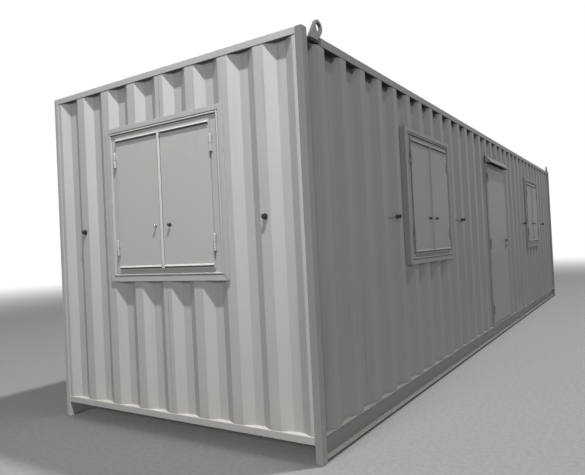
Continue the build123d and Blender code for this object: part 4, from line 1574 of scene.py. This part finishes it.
@dataclass
class FoldedSheets(SubAssembly):
    """Base of the sub-assemblies that are folded sheets."""

    def fold(self, wave: Wave, others: dict, bottom: float) -> BMesh:
        """Folds a sheet and sets its lowest edge to a level.

        Args:
            wave: Its folds.
            others: The tree's other inputs.
            bottom: Level of its lowest edge.

        Returns:
            The sheet, as (along, inwards, up).
        """
        mesh = grown_mesh(self.trees.folded, wave.inputs() | others)
        form = bmesh.new()
        form.from_mesh(mesh)
        bpy.data.meshes.remove(mesh)
        bmesh.ops.remove_doubles(form, verts=form.verts, dist=1e-6)
        lowest = min(vertex.co.z for vertex in form.verts)
        bmesh.ops.translate(form, verts=form.verts, vec=(0, 0, bottom - lowest))
        return form

    def finish(
        self, form: BMesh, place: Matrix, out: Vector, node: str, name: str, material: Material, slot: str,
    ) -> None:
        """Places a folded sheet, turns it outwards and gives it its thickness.

        Args:
            form: The sheet.
            place: Matrix to its place.
            out: Direction that its outer face looks in.
            node: Node that it replaces.
            name: Piece's name.
            material: Its material.
            slot: Record slot of its finish; not used.
        """
        form.transform(place)
        form.normal_update()
        if sum(item.normal.dot(out) * item.calc_area() for item in form.faces) < 0:
            bmesh.ops.reverse_faces(form, faces=form.faces)
        mesh = bpy.data.meshes.new(name)
        form.to_mesh(mesh)
        form.free()
        piece = place_mesh(mesh, name, material, "cabin", 35.0)
        solid = piece.modifiers.new("sheet_thickness", "SOLIDIFY")
        solid.thickness = SHEET_THICKNESS
        solid.offset = -1.0
        piece.modifiers.move(1, 0)
        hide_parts(node)


@dataclass
class WallSheets(FoldedSheets):
    """Corrugated sheets of the four walls.

    Attributes:
        crest: Depth of the crest plane behind the outer plane.
        fold_depth: Depth of the folds.
        flank: Width of a flank along the wall.
        end_flat: Least width of the flat beside the last post.
        side_first: Middle of a long wall's first crest.
        side_flat: Width of its flats.
        end_recess: Width of an end wall's recessed flats.
        side_post: Width of a post along a long wall.
        end_post: Width of a post along an end wall.
    """

    crest: float = 0.003
    fold_depth: float = 0.036
    flank: float = 0.072
    end_flat: float = 0.02
    side_first: float = 0.2205
    side_flat: float = 0.075
    end_recess: float = 0.071
    side_post: float = 0.06
    end_post: float = 0.05

    def wave(
        self, length: float, pitch: float, first: float, flat: float, post: float, levels: Point2,
        mirrored: bool,
    ) -> Wave:
        """Fits the folds of a wall between its posts.

        Args:
            length: Length of the wall over its posts.
            pitch: Distance between folds.
            first: Middle of the first one.
            flat: Width of its flat.
            post: Width of a post along the wall.
            levels: Depths of the flats between the folds and of their own flats.
            mirrored: Whether the first fold is the last one, seen from outside.

        Returns:
            The wall's wave.
        """
        last = length - post - self.end_flat - flat / 2 - self.flank
        count = int((last - first) / pitch + 1e-6) + 1
        if mirrored:
            first = length - first - pitch * (count - 1)
        return Wave(count, pitch, first, flat, self.flank, post, length - post, *levels)

    def side_wave(self, mirrored: bool) -> Wave:
        """Wave of a long wall, which starts at valley depth.

        Args:
            mirrored: Whether its first fold is the last one.

        Returns:
            The wave.
        """
        levels = (self.crest + self.fold_depth, self.crest)
        sizes = (self.side_first, self.side_flat, self.side_post)
        return self.wave(self.plan.length, SIDE_PITCH, *sizes, levels, mirrored)

    def end_wave(self, mirrored: bool) -> Wave:
        """Wave of an end wall, which starts at crest depth.

        Args:
            mirrored: Whether its first fold is the last one.

        Returns:
            The wave.
        """
        levels = (self.crest, self.crest + self.fold_depth)
        sizes = (END_FIRST, self.end_recess, self.end_post)
        return self.wave(self.plan.width, END_PITCH, *sizes, levels, mirrored)

    def sheet(
        self, node: str, face: Face, wave: Wave, rows: int, seed: float, openings: Sequence[Opening] = (),
        dents: Sequence[Dent] = (),
    ) -> None:
        """Makes one wall's sheet.

        Args:
            node: Node that it replaces.
            face: The wall.
            wave: Its folds.
            rows: Rows of faces from bottom to top.
            seed: Seed of its slight waviness.
            openings: Holes to cut.
            dents: Dents to press in.
        """
        low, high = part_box(node)
        others = {"Height": high.z - low.z, "Rows": rows, "Seed": seed, "Material": self.finishes.wall}
        form = self.fold(wave, others, low.z)
        for opening in openings:
            self.cut(form, opening)
        for dent in dents:
            self.press(form, dent)
        self.finish(
            form, face.plan_matrix(), face.out, node, f"{node}_folded", self.finishes.wall, PAINT_SLOT,
        )

    def cut(self, form: BMesh, opening: Opening) -> None:
        """Cuts an opening out of a sheet.

        Args:
            form: The sheet.
            opening: The hole, in wall coordinates.
        """
        left, right, low, high = opening.left, opening.right, opening.low, opening.high
        planes = [((along, 0, 0), (1, 0, 0)) for along in (left, right)]
        planes += [((0, 0, level), (0, 0, 1)) for level in (low, high)]
        for point, normal in planes:
            near = [face for face in form.faces if left - 0.2 < face.calc_center_median().x < right + 0.2]
            parts = dict.fromkeys(near)
            for face in near:
                parts.update(dict.fromkeys([*face.edges, *face.verts]))
            bmesh.ops.bisect_plane(form, geom=list(parts), plane_co=point, plane_no=normal, dist=1e-6)
        inside = []
        for face in form.faces:
            middle = face.calc_center_median()
            if left < middle.x < right and low < middle.z < high:
                inside.append(face)
        bmesh.ops.delete(form, geom=inside, context="FACES")

    def press(self, form: BMesh, dent: Dent) -> None:
        """Presses a dent into a sheet.

        Args:
            form: The sheet.
            dent: The dent, in wall coordinates.
        """
        for vertex in form.verts:
            away = math.hypot(vertex.co.x - dent.along, vertex.co.z - dent.height) / dent.size
            if away < 1.0:
                vertex.co.y += dent.depth * (1 - away * away) ** 2

    def build(self, front_openings: Sequence[Opening], left_openings: Sequence[Opening]) -> None:
        """Makes the four sheets.

        Args:
            front_openings: Holes in the front wall.
            left_openings: Holes in the end wall with the window.
        """
        plan = self.plan
        dents = (Dent(0.45, 0.70, 0.07, 0.006), Dent(0.51, 0.68, 0.05, 0.005), Dent(5.95, 0.30, 0.12, 0.008))
        back_dents = (Dent(3.4, 0.7, 0.12, 0.006),)
        self.sheet("front_wall_sheet", plan.front(), self.side_wave(False), 56, 1.0, front_openings, dents)
        self.sheet("back_wall_sheet", plan.back(), self.side_wave(True), 36, 4.0, dents=back_dents)
        self.sheet("left_wall_sheet", plan.left(), self.end_wave(True), 44, 8.0, left_openings)
        self.sheet("right_wall_sheet", plan.right(), self.end_wave(False), 36, 12.0)
        self.centre_seam()

    def centre_seam(self) -> None:
        """Adds the upright seam where the end wall's two sheets meet on the middle crest."""
        face = self.plan.left()
        along = self.plan.width - END_FIRST - 3.5 * END_PITCH
        low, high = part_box("left_wall_sheet")
        window_low, window_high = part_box("end_window_frame")
        depth = -self.crest - 0.001
        for start, end in ((window_high.z, high.z), (low.z, window_low.z)):
            self.welds.add("cabin", face.at(along, start, depth), face.at(along, end, depth))


@dataclass
class Roof(FoldedSheets):
    """Ribbed roof sheet.

    Attributes:
        pitch: Distance between ribs before they are spaced evenly.
        rib: Height of a rib.
    """

    pitch: float = 0.3
    rib: float = 0.02

    def build(self) -> None:
        """Makes the roof sheet with ribs across the cabin."""
        low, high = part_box("roof_sheet")
        length = high.x - low.x
        gaps = round((length - self.pitch) / self.pitch)
        step = (length - self.pitch) / gaps
        wave = Wave(gaps + 1, step, self.pitch / 2, 0.07, 0.03, 0.0, length, 0.0, -self.rib)
        others = {"Fold Radius": 0.008, "Height": high.y - low.y, "Rows": 8, "Waviness": 0.0}
        form = self.fold(wave, others | {"Material": self.finishes.roof}, 0.0)
        turn = turning((1, 0, 0), (0, 0, -1), (0, 1, 0))
        place = Matrix.Translation((low.x, low.y, low.z + SHEET_THICKNESS)) @ turn
        self.finish(form, place, UP, "roof_sheet", "roof_sheet_ribbed", self.finishes.roof, "galvanised_roof")


@dataclass
class ShutteredWindow(SubAssembly):
    """One window: proud frame, two shutters with bars, hinges and knobs.

    Attributes:
        name: Window's name in the frame.
        face: Plane through its centre on the wall's outer plane.
        back: Depth of the liner's back edge behind the outer plane.
        bright_left_knob: Whether the left knob has lost its black cap.
        valley_depth: Depth of the wall valleys that the frame's sides stand over, if any.
        width: Width over the frame.
        height: Height over the frame.
        band: Width of the frame's outer band.
        band_front: Front of its bead.
        band_back: Back of the band.
        bead: Radius of the bead.
        bead_rise: Height of the bead over the band.
        groove_front: Bottom of the groove beside the bead.
        spatter_levels: Levels of small weld spots on the right edge.
        knob_drop: Level of knobs and catches below the centre.
        lip: Front of the lip behind the leaves.
        lip_thickness: Thickness of the lip.
        side_margin: Distance of the leaves from the frame's sides.
        end_margin: Distance of the leaves from its top and bottom.
        overlap: How far the leaves cover the lip.
        leaf_front: Front of the leaves.
        leaf_plate: Thickness of their plate.
        axis_margin: Distance of the hinge axes from the frame's sides.
        axis_front: Distance of the hinge axes in front of the wall.
        hinge_levels: Levels of the hinges' middles.
        barrel_length: Length of half a hinge barrel.
        barrel_gap: Half the gap between two halves of a barrel.
        leaf_gap: Half the gap between the leaves.
        bar_inset: Distance of a bar's middle from the leaf's top or bottom.
        strip_middle: Distance of the cover strip's middle from the centre line.
    """

    name: str
    face: Face
    back: float
    bright_left_knob: bool = False
    valley_depth: float = 0.0
    width: float = 1.16
    height: float = 1.152
    band: float = 0.056
    band_front: float = 0.014
    band_back: float = -0.003
    bead: float = 0.007
    bead_rise: float = 0.0025
    groove_front: float = 0.005
    spatter_levels: tuple = (0.26, 0.12, -0.31)
    knob_drop: float = 0.183
    lip: float = 0.002
    lip_thickness: float = 0.004
    side_margin: float = 0.113
    end_margin: float = 0.08
    overlap: float = 0.015
    leaf_front: float = 0.012
    leaf_plate: float = 0.004
    axis_margin: float = 0.103
    axis_front: float = 0.018
    hinge_levels: tuple = (0.33, -0.325)
    barrel_length: float = 0.059
    barrel_gap: float = 0.0007
    leaf_gap: float = 0.003
    bar_inset: float = 0.025
    strip_middle: float = 0.0142

    def opening_insets(self) -> tuple[float, float]:
        """Insets of the clear opening at the sides and at top and bottom."""
        return self.side_margin + self.overlap, self.end_margin + self.overlap

    def hole(self, wall: Face) -> Opening:
        """Hole in the wall's sheet for the liner.

        Args:
            wall: Plane of the whole wall.

        Returns:
            The hole, along the wall.
        """
        centre = self.face.origin
        along = (centre - wall.origin).dot(wall.right)
        inset_u, inset_v = self.opening_insets()
        half_u = self.width / 2 - inset_u + 0.006
        half_v = self.height / 2 - inset_v + 0.006
        return Opening(along - half_u, along + half_u, centre.z - half_v, centre.z + half_v)

    def frame_profile(self) -> list[tuple[float, float, float]]:
        """Closed cross-section of the frame, from its outer back edge round to the liner.

        Returns:
            Corners as (inset at the sides, inset at top and bottom, w).
        """
        soft, edge, liner = 0.003, 0.0015, 0.004
        inset_u, inset_v = self.opening_insets()
        front, band, bead = self.band_front, self.band, self.bead
        flat = front - self.bead_rise
        groove = band - 2 * bead - 0.007
        back = self.lip - self.lip_thickness
        square = [(0.0, self.band_back)] + arc((soft, flat - soft), soft, 180, 90, 3)
        square += [(groove, flat), (groove + 0.001, self.groove_front), (band - 2 * bead, self.groove_front)]
        square += arc((band - bead, front - bead), bead, 180, 0, 8)
        square += [(band, self.lip + edge), (band + edge, self.lip)]
        points = [(a, a, w) for a, w in square]
        points.append((inset_u - edge, inset_v - edge, self.lip))
        points.append((inset_u, inset_v, self.lip - edge))
        points.append((inset_u, inset_v, -self.back))
        points.append((inset_u - liner, inset_v - liner, -self.back))
        points.append((inset_u - liner, inset_v - liner, back))
        return points + [(band, band, back), (band, band, self.band_back)]

    def build(self) -> None:
        """Makes the frame, the shutters and their fittings."""
        shape = Shape(self.face.matrix())
        shape.ring(self.frame_profile(), self.width, self.height)
        if self.valley_depth > 0:
            half_u, half_v = self.width / 2, self.height / 2
            reach = (half_u - 0.004, half_u, -half_v, half_v, -self.valley_depth, self.band_back + 0.002)
            for side in (-1, 1):
                shape.box(*self.span(side, *reach), edge=0.0008, steps=1)
        shape.piece(f"{self.name}_frame_steel", self.finishes.frame, f"{self.name}_frame")
        for hand in Hand:
            self.shutter(hand)
            self.knob(hand)
        self.fixed_barrels()
        self.frame_welds()

    def frame_welds(self) -> None:
        """Adds the mitre bead at the lower right corner and the beads where the lip meets the band."""
        face = self.face
        half_u, half_v = self.width / 2, self.height / 2
        flat = self.band_front - self.bead_rise
        mitre = face.at(half_u - self.band + 0.018, -half_v + self.band - 0.018, flat - 0.0012)
        self.welds.add("cabin", face.at(half_u - 0.004, -half_v + 0.004, flat - 0.0012), mitre)
        inner_u, inner_v = half_u - self.band, -half_v + self.band
        for side in (-1, 1):
            u, v = side * (inner_u - 0.001), inner_v + 0.001
            corner = face.at(u, v, self.lip)
            self.welds.add("cabin", corner, face.at(u, inner_v + 0.05, self.lip))
            self.welds.add("cabin", corner, face.at(side * (inner_u - 0.04), v, self.lip))
        for level in self.spatter_levels:
            spot = face.at(half_u - 0.002, level, flat - 0.001)
            self.welds.add("cabin", spot, spot + UP * 0.009)

    def ridge(self, half: float, rise: float) -> list[Point2]:
        """Cross-section of a welded angle bar.

        Args:
            half: Half its width.
            rise: Its height.

        Returns:
            Corners as (across, outwards).
        """
        sink = -0.001
        tip = arc((0.0, rise - 0.0022), 0.0022, 150, 30, 4)
        return [(-half, sink), (-half, 0.0), *tip, (half, 0.0), (half, sink)]

    def shutter(self, hand: Hand) -> None:
        """Makes one shutter leaf with its rim, bars and moving hinge barrels.

        Args:
            hand: Left or right leaf.
        """
        side = hand.value
        node = f"{self.name}_{hand.name.lower()}_shutter"
        near, far = self.leaf_gap, self.width / 2 - self.side_margin
        half_v = self.height / 2 - self.end_margin
        front, back = self.leaf_front, self.leaf_front - self.leaf_plate
        shape = Shape(self.face.matrix())
        shape.box(*self.span(side, near, far, -half_v, half_v, back, front), edge=0.0012)
        self.border(shape, side, (near, far, half_v), 0.0025, (0.0045, front - 0.001), 0.0006)
        margin = self.overlap + 0.008
        rim = (near + 0.008, far - margin, half_v - margin)
        self.border(shape, side, rim, 0.004, (back - 0.02, back + 0.001), 0.001)
        bar_v = half_v - self.bar_inset
        bar_near = 0.024 if hand is Hand.LEFT else near + 0.002
        ends = sorted((side * bar_near, side * (far - 0.004)))
        for level in (bar_v, -bar_v):
            outline = [(level + a, front + b) for a, b in self.ridge(0.012, 0.0125)]
            shape.prism(outline, *ends, run_first, 0.0005)
        if hand is Hand.LEFT:
            outline = [(side * self.strip_middle + a, front + b) for a, b in self.ridge(0.0112, 0.012)]
            shape.prism(outline, -bar_v - 0.011, bar_v + 0.011, run_second, 0.0005)
        axis_u = side * (self.width / 2 - self.axis_margin)
        for level in self.hinge_levels:
            base = Vector((axis_u, level + self.barrel_gap, self.axis_front))
            shape.lathe(self.barrel(), base, Vector((0, 1, 0)), 20)
            tab = sorted((axis_u + side * 0.003, axis_u - side * 0.014))
            shape.box((tab[0], level + 0.003, back), (tab[1], level + 0.057, front), 0.0008, 1)
            bead = [self.face.at(axis_u - side * 0.0135, level + v, front - 0.0005) for v in (0.006, 0.054)]
            self.welds.add(f"{node}_leaf", *bead)
        shape.piece(f"{node}_steel", self.finishes.leaf, node, f"{node}_leaf")

    def border(
        self, shape: Shape, side: int, reach: Sequence[float], thick: float, depth: Point2, edge: float,
    ) -> None:
        """Adds four strips round a rectangle on one side of the centre line.

        Args:
            shape: Shape to add to.
            side: -1 for left, 1 for right.
            reach: Rectangle's near edge, far edge and half height.
            thick: Width of the strips.
            depth: Back and front of the strips.
            edge: Their edge radius.
        """
        near, far, half_v = reach
        sides = ((near, near + thick, -half_v, half_v), (far - thick, far, -half_v, half_v))
        ends = ((near, far, -half_v, -half_v + thick), (near, far, half_v - thick, half_v))
        for strip in sides + ends:
            shape.box(*self.span(side, *strip, *depth), edge=edge, steps=1)

    def span(
        self, side: int, near: float, far: float, low: float, high: float, back: float, front: float,
    ) -> tuple:
        """Corners of a block that lies from near to far on one side of the centre line."""
        left, right = sorted((side * near, side * far))
        return (left, low, back), (right, high, front)

    def barrel(self) -> list[Point2]:
        """Profile of half a bullet hinge, open end first.

        Returns:
            (radius, height) pairs.
        """
        length, radius, tip = self.barrel_length, 0.008, 0.006
        start = [(0.0, 0.0), (0.0072, 0.0), (radius, 0.0008), (radius, length - tip)]
        return start + arc((radius - tip, length - tip), tip, 0, 90, 4)[1:] + [(0.0, length)]

    def fixed_barrels(self) -> None:
        """Makes the lower halves of the bullet hinges, which stay on the frame."""
        shape = Shape(self.face.matrix())
        axis = self.width / 2 - self.axis_margin
        for side in (-1, 1):
            for level in self.hinge_levels:
                base = Vector((side * axis, level - self.barrel_gap, self.axis_front))
                shape.lathe(self.barrel(), base, Vector((0, -1, 0)), 20)
                reach = (axis - 0.0035, axis + 0.0035, level - 0.056, level - 0.004)
                tab = self.span(side, *reach, self.lip - 0.0005, self.axis_front - 0.002)
                shape.box(*tab, edge=0.0008, steps=1)
        shape.piece(f"{self.name}_hinge_barrels", self.finishes.leaf, "shutter_hinge_pins")

    def knob(self, hand: Hand) -> None:
        """Makes a knob: a thin washer, a stud and a domed head.

        Args:
            hand: Left or right leaf.
        """
        bare = self.bright_left_knob and hand is Hand.LEFT
        material = self.finishes.steel if bare else self.finishes.rubber
        slot = "bare_steel" if bare else "black_rubber"
        side = f"{self.name}_{hand.name.lower()}"
        node, out = f"{side}_knob", self.face.out
        low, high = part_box(node)
        middle = (low + high) / 2
        base = middle + out * (self.leaf_front - (middle - self.face.origin).dot(out))
        length = (high - low).dot(Vector([abs(part) for part in out]))
        head = 0.0095 if bare else 0.0112
        washer = [(0.0, 0.0), (0.0125, 0.0), (0.0128, 0.0012), (0.0115, 0.0028)]
        stud = [
            (0.0052, 0.0032), (0.0048, 0.0085), (head - 0.002, 0.0095), (head, 0.0115),
            (head, length - 0.005),
        ]
        dome = arc((head - 0.0045, length - 0.0045), 0.0045, 10, 80, 3) + [(0.0, length)]
        shape = Shape().lathe(washer + stud + dome, base, out, 28)
        shape.piece(f"{node}_turned", material, node, f"{side}_shutter_leaf", slot)


@dataclass
class Catches(SubAssembly):
    """Rubber spools on painted stems that hold the opened shutters.

    Attributes:
        foot_radius: Radius of the foot plate.
        stem_radius: Radius of the stem.
        spool: Profile of the spool as (radius, distance behind its front face).
    """

    foot_radius: float = 0.018
    stem_radius: float = 0.005
    spool: tuple = (
        (0.0, 0.0), (0.0125, 0.0), (0.0152, 0.0014), (0.0162, 0.0045), (0.0155, 0.0075), (0.0132, 0.0095),
        (0.013, 0.0135), (0.015, 0.0158), (0.0182, 0.0178), (0.0186, 0.0205), (0.0182, 0.024),
        (0.0165, 0.025), (0.0, 0.025),
    )

    def stem(self, length: float) -> list[Point2]:
        """Profile of a stem with its foot plate, from the spool's inside to the wall.

        Args:
            length: Distance from the spool's front face to the wall.

        Returns:
            (radius, distance behind the spool's front face) pairs.
        """
        radius, foot = self.stem_radius, self.foot_radius
        shaft = [(0.0, 0.02), (radius, 0.02), (radius, length - 0.004)]
        return shaft + [(foot - 0.001, length - 0.003), (foot, length - 0.002), (foot, length), (0.0, length)]

    def build(self, windows: Sequence[ShutteredWindow]) -> None:
        """Makes all catches.

        Args:
            windows: Windows that they belong to.
        """
        rubber, steel = Shape(), Shape()
        for window in windows:
            deep = window.valley_depth > 0
            if deep:
                front, wall, pitch, stretch = 0.06, -0.039, SIDE_PITCH, 1.7
            else:
                front, wall, pitch, stretch = 0.025, -0.003, END_PITCH, 1.0
            spool = [(radius, height * stretch) for radius, height in self.spool]
            for side in (-1, 1):
                tip = window.face.at(side * 3 * pitch, -window.knob_drop, front)
                rubber.lathe(spool, tip, -window.face.out, 28)
                if deep:
                    steel.lathe(self.stem(front - wall), tip, -window.face.out, 24)
        rubber.piece("catch_rubbers", self.finishes.rubber, "shutter_catches", slot="black_rubber")
        steel.piece("catch_stems", self.finishes.wall)


@dataclass
class Door(SubAssembly):
    """Front door: frame, leaf, hinges, handle and rain hood.

    Attributes:
        plate_half: Half width of the handle's back plate.
        hood_plate: Thickness of the hood's steel.
    """

    plate_half: float = 0.017
    hood_plate: float = 0.003

    def build(self) -> None:
        """Dresses the door's pieces."""
        dress("door_frame", self.finishes.frame)
        dress("door_leaf", self.finishes.leaf)
        dress("door_hinge_pins", self.finishes.frame)
        self.handle()
        self.hood()

    def handle(self) -> None:
        """Makes the painted back plate, and the black lever and lock on it."""
        low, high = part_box("door_handle")
        middle = Vector(((low.x + high.x) / 2, high.y, (low.z + high.z) / 2))
        face = Face(middle, Vector((1, 0, 0)), Vector((0, -1, 0)))
        half, reach, depth = self.plate_half, 0.085, 0.004
        lever_level, lock_level = 0.038, -0.037
        u, proud = high.x - half - face.origin.x, high.y - low.y
        plate = Shape(face.matrix()).box((u - half, -reach, 0.0), (u + half, reach, depth), 0.0018, 2)
        neck = [
            (0.0, 0.0), (0.0105, 0.0), (0.0105, 0.004), (0.007, 0.0055), (0.007, proud - 0.006),
            (0.0, proud - 0.006),
        ]
        lock = [(0.0, 0.0), (0.013, 0.0), (0.013, 0.0068), (0.0122, 0.008), (0.0, 0.008)]
        turned = Shape().lathe(neck, face.at(u, lever_level, depth), face.out, 20)
        turned.lathe(lock, face.at(u, lock_level, depth), face.out, 24)
        grip = ((u - 0.071, 0.029, proud - 0.01), (u + 0.009, 0.047, proud))
        lever = Shape(face.matrix()).bar(*grip, Run.X, 0.004, 0.0025)
        plate.piece("door_handle_plate", self.finishes.leaf, "door_handle", "front_door")
        turned.piece("door_handle_lock", self.finishes.black, "door_handle", "front_door", "black_metal")
        lever.piece("door_handle_lever", self.finishes.black, "door_handle", "front_door", "black_metal")

    def hood(self) -> None:
        """Makes the folded rain hood with its closed ends, and the near-black painted shade inside it."""
        low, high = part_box("door_hood")
        wall, nose, thick = self.plan.y_front + 0.003, low.y, self.hood_plate
        top, front_top = high.z, low.z + 0.016
        ends = [(wall, low.z), (wall, top), (wall - 0.004, top), (nose, front_top), (nose, low.z)]
        near, far, up = nose + thick, wall - thick, top - thick
        inner = [(near, low.z), (near, front_top - 0.001), (far - 0.002, up - 0.002), (far, low.z)]
        shape = Shape().prism(ends + inner, low.x, high.x, run_first)
        for start in (low.x, high.x - thick):
            shape.prism(ends, start, start + thick, run_first)
        shape.piece("door_hood_folded", self.finishes.frame, "door_hood")
        self.welds.add("cabin", (low.x, wall - 0.004, top), (high.x, wall - 0.004, top))
        # Painted shade: a thin near-black liner inside the hood stands for the shade under it.
        edge = low.z + 0.001
        over = [(near, edge), (near, front_top - 0.002), (far - 0.002, up - 0.003), (far, edge)]
        under = [
            (far - 0.001, edge), (far - 0.003, up - 0.005), (near + 0.001, front_top - 0.004),
            (near + 0.001, edge),
        ]
        painted_shade = Shape().prism(over + under, low.x + thick, high.x - thick, run_first)
        painted_shade.piece("door_hood_grime", self.finishes.under, slot="dark_underframe")


class Interior(SubAssembly):
    """Linings, ceiling, sashes and glass seen through the openings."""

    def build(self) -> None:
        """Dresses the inner pieces."""
        for wall in ("front", "back", "left", "right"):
            dress(f"{wall}_wall_lining", self.finishes.board)
        dress("ceiling", self.finishes.board)
        dress("window_sashes", self.finishes.plastic)
        dress("window_glass", self.finishes.glass)


# Studio


@dataclass(frozen=True)
class Studio:
    """Pale floor, soft lamps and the camera of the photograph's view.

    Attributes:
        eye: Camera's place relative to the near ground corner.
        right: Picture's right-hand direction.
        upward: Picture's upward direction.
        forward: Viewing direction.
        lens: Lens length in millimetres on a 36 mm wide sensor.
        shift: Sideways shift that sets the photograph's framing.
        daylight: Strength of the even light all round.
    """

    eye: tuple = (-2.65436, -1.65136, 1.28359)
    right: tuple = (0.524749, -0.849804, -0.04972)
    upward: tuple = (0.012894, -0.050467, 0.998643)
    forward: tuple = (0.851159, 0.524677, 0.015525)
    lens: float = 32.967
    shift: float = -0.03675
    daylight: float = 0.18

    def camera(self, plan: CabinPlan) -> None:
        """Places the camera.

        Args:
            plan: Cabin's corners.
        """
        data = bpy.data.cameras.new("photo_view")
        data.lens = self.lens
        data.sensor_width = 36.0
        data.sensor_fit = "HORIZONTAL"
        data.shift_x = self.shift
        data.clip_end = 200.0
        camera = bpy.data.objects.new("photo_view", data)
        turn = turning(self.right, self.upward, -Vector(self.forward))
        corner = Vector((plan.x_left, plan.y_front, 0.0))
        camera.matrix_world = Matrix.Translation(corner + Vector(self.eye)) @ turn
        bpy.context.scene.collection.objects.link(camera)
        bpy.context.scene.camera = camera

    def lamp(
        self, name: str, place: Sequence[float], aim: Sequence[float], size: Point2, power: float,
    ) -> Object:
        """Adds one soft rectangular lamp.

        Args:
            name: Lamp's name.
            place: Its place.
            aim: Point that it looks at.
            size: Its width and height.
            power: Its power in watts.

        Returns:
            The lamp.
        """
        data = bpy.data.lights.new(name, "AREA")
        data.shape = "RECTANGLE"
        data.size, data.size_y = size
        data.energy = power
        lamp = bpy.data.objects.new(name, data)
        lamp.location = place
        lamp.rotation_euler = (Vector(aim) - Vector(place)).to_track_quat("-Z", "Y").to_euler()
        bpy.context.scene.collection.objects.link(lamp)
        return lamp

    def keep_to_end(self, lamp: Object) -> None:
        """Lets a lamp light the window end's own pieces only, as the rest stands in shade.

        Args:
            lamp: Lamp to limit.
        """
        lit = bpy.data.collections.new("lit_by_end_key")
        for item in bpy.context.scene.objects:
            if item.name.startswith(END_PIECES) and item.name not in frame["nodes"]:
                lit.objects.link(item)
        lamp.light_linking.receiver_collection = lit

    def floor(self) -> None:
        """Makes the pale floor, which fades to white far away."""
        material, wire, shader = new_material("pale_floor")
        place = wire.place()
        fine = wire.noise(place, 30.0, 4.0)
        tone = wire.mix(wire.ramp(fine, 0.3, 0.7), grey(0.52, 0.005), grey(0.58, 0.005))
        wire.feed(shader.inputs["Base Color"], tone)
        shader.inputs["Roughness"].default_value = 0.9
        shader.inputs["Specular IOR Level"].default_value = 0.1
        away = wire.node("ShaderNodeVectorMath", {0: place}, operation="LENGTH").outputs["Value"]
        fade = wire.ramp(away, 8.0, 26.0)
        glow = wire.node("ShaderNodeEmission", {"Color": grey(1.0), "Strength": 1.0})
        seen = wire.math("MULTIPLY", fade, wire.node("ShaderNodeLightPath").outputs["Is Camera Ray"])
        mixed = wire.node("ShaderNodeMixShader", {0: seen, 1: shader.outputs[0], 2: glow.outputs[0]})
        wire.feed(material.node_tree.nodes["Material Output"].inputs["Surface"], mixed.outputs[0])
        mesh = bpy.data.meshes.new("pale_floor")
        half = 60.0
        mesh.from_pydata(
            [(-half, -half, 0), (half, -half, 0), (half, half, 0), (-half, half, 0)], [], [(0, 1, 2, 3)],
        )
        mesh.materials.append(material)
        floor = bpy.data.objects.new("pale_floor", mesh)
        floor.location.z = -0.001
        bpy.context.scene.collection.objects.link(floor)

    def world(self, level: float) -> None:
        """Makes the even light all round, which the camera sees as white.

        Args:
            level: Its strength on the cabin.
        """
        world = bpy.data.worlds.new("soft_white")
        bpy.context.scene.world = world
        world.use_nodes = True
        wire = Wiring(world.node_tree)
        rays = wire.node("ShaderNodeLightPath")
        seen = wire.math("MAXIMUM", rays.outputs["Is Camera Ray"], rays.outputs["Is Transmission Ray"])
        seen = wire.math("MAXIMUM", seen, wire.math("MULTIPLY", rays.outputs["Is Glossy Ray"], 0.55))
        strength = wire.math("MULTIPLY_ADD", seen, 1.0 - level, level)
        background = world.node_tree.nodes["Background"]
        background.inputs["Color"].default_value = (1.0, 1.0, 1.0, 1.0)
        wire.feed(background.inputs["Strength"], strength)

    def build(self, plan: CabinPlan) -> None:
        """Sets up the camera, floor, lamps and world.

        Args:
            plan: Cabin's corners.
        """
        bpy.context.scene.view_settings.view_transform = "Standard"
        self.camera(plan)
        self.floor()
        self.world(self.daylight)
        key = self.lamp(
            "end_key", (plan.x_left - 2.2, plan.y_front - 1.9, 9.0), (plan.x_left, 0.0, 1.2), (0.3, 0.3),
            1500.0,
        )
        self.keep_to_end(key)
        self.lamp(
            "end_fill", (plan.x_left - 10.0, plan.y_front - 6.0, 4.5),
            (plan.x_left, plan.y_front + 0.5, 1.3), (3.0, 3.0), 350.0,
        )
        self.lamp(
            "end_soft", (plan.x_left - 9.0, plan.y_front + 1.2, 4.0), (plan.x_left, 0.0, 1.3), (2.0, 2.0),
            200.0,
        )
        self.lamp("front_key", (0.5, plan.y_front - 5.5, 20.0), (0.0, plan.y_front, 1.2), (0.9, 0.9), 1850.0)


def main() -> None:
    """Builds the cabin's looks, piece by piece."""
    logging.basicConfig(level=logging.INFO, format="%(message)s")
    plan, finishes, trees = CabinPlan.from_frame(), Finishes(), Trees()
    welds = WeldSeams(trees, finishes)
    kit = (plan, finishes, trees, welds)
    for assembly in (CornerPosts, BaseFrame, TopFrame):
        assembly(*kit).build()
    front, left = plan.front(), plan.left()
    windows, holes = [], {}
    for name, wall, back in (
        ("end_window", left, 0.11), ("left_window", front, 0.1), ("right_window", front, 0.1),
    ):
        low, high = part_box(f"{name}_frame")
        middle = (low + high) / 2
        face = wall.moved((middle - wall.origin).dot(wall.right), middle.z)
        at_end = name == "end_window"
        window = ShutteredWindow(*kit, name, face, back, at_end, 0.0 if at_end else 0.0385)
        windows.append(window)
        holes[name] = window.hole(wall)
    low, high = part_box("door_frame")
    doorway = Opening(low.x - plan.x_left - 0.002, high.x - plan.x_left + 0.002, 0.0, high.z + 0.002)
    WallSheets(*kit).build((holes["left_window"], doorway, holes["right_window"]), (holes["end_window"],))
    Roof(*kit).build()
    for window in windows:
        window.build()
    Catches(*kit).build(windows)
    for assembly in (Door, Interior):
        assembly(*kit).build()
    welds.build()
    Studio().build(plan)


if __name__ == "__main__":
    main()
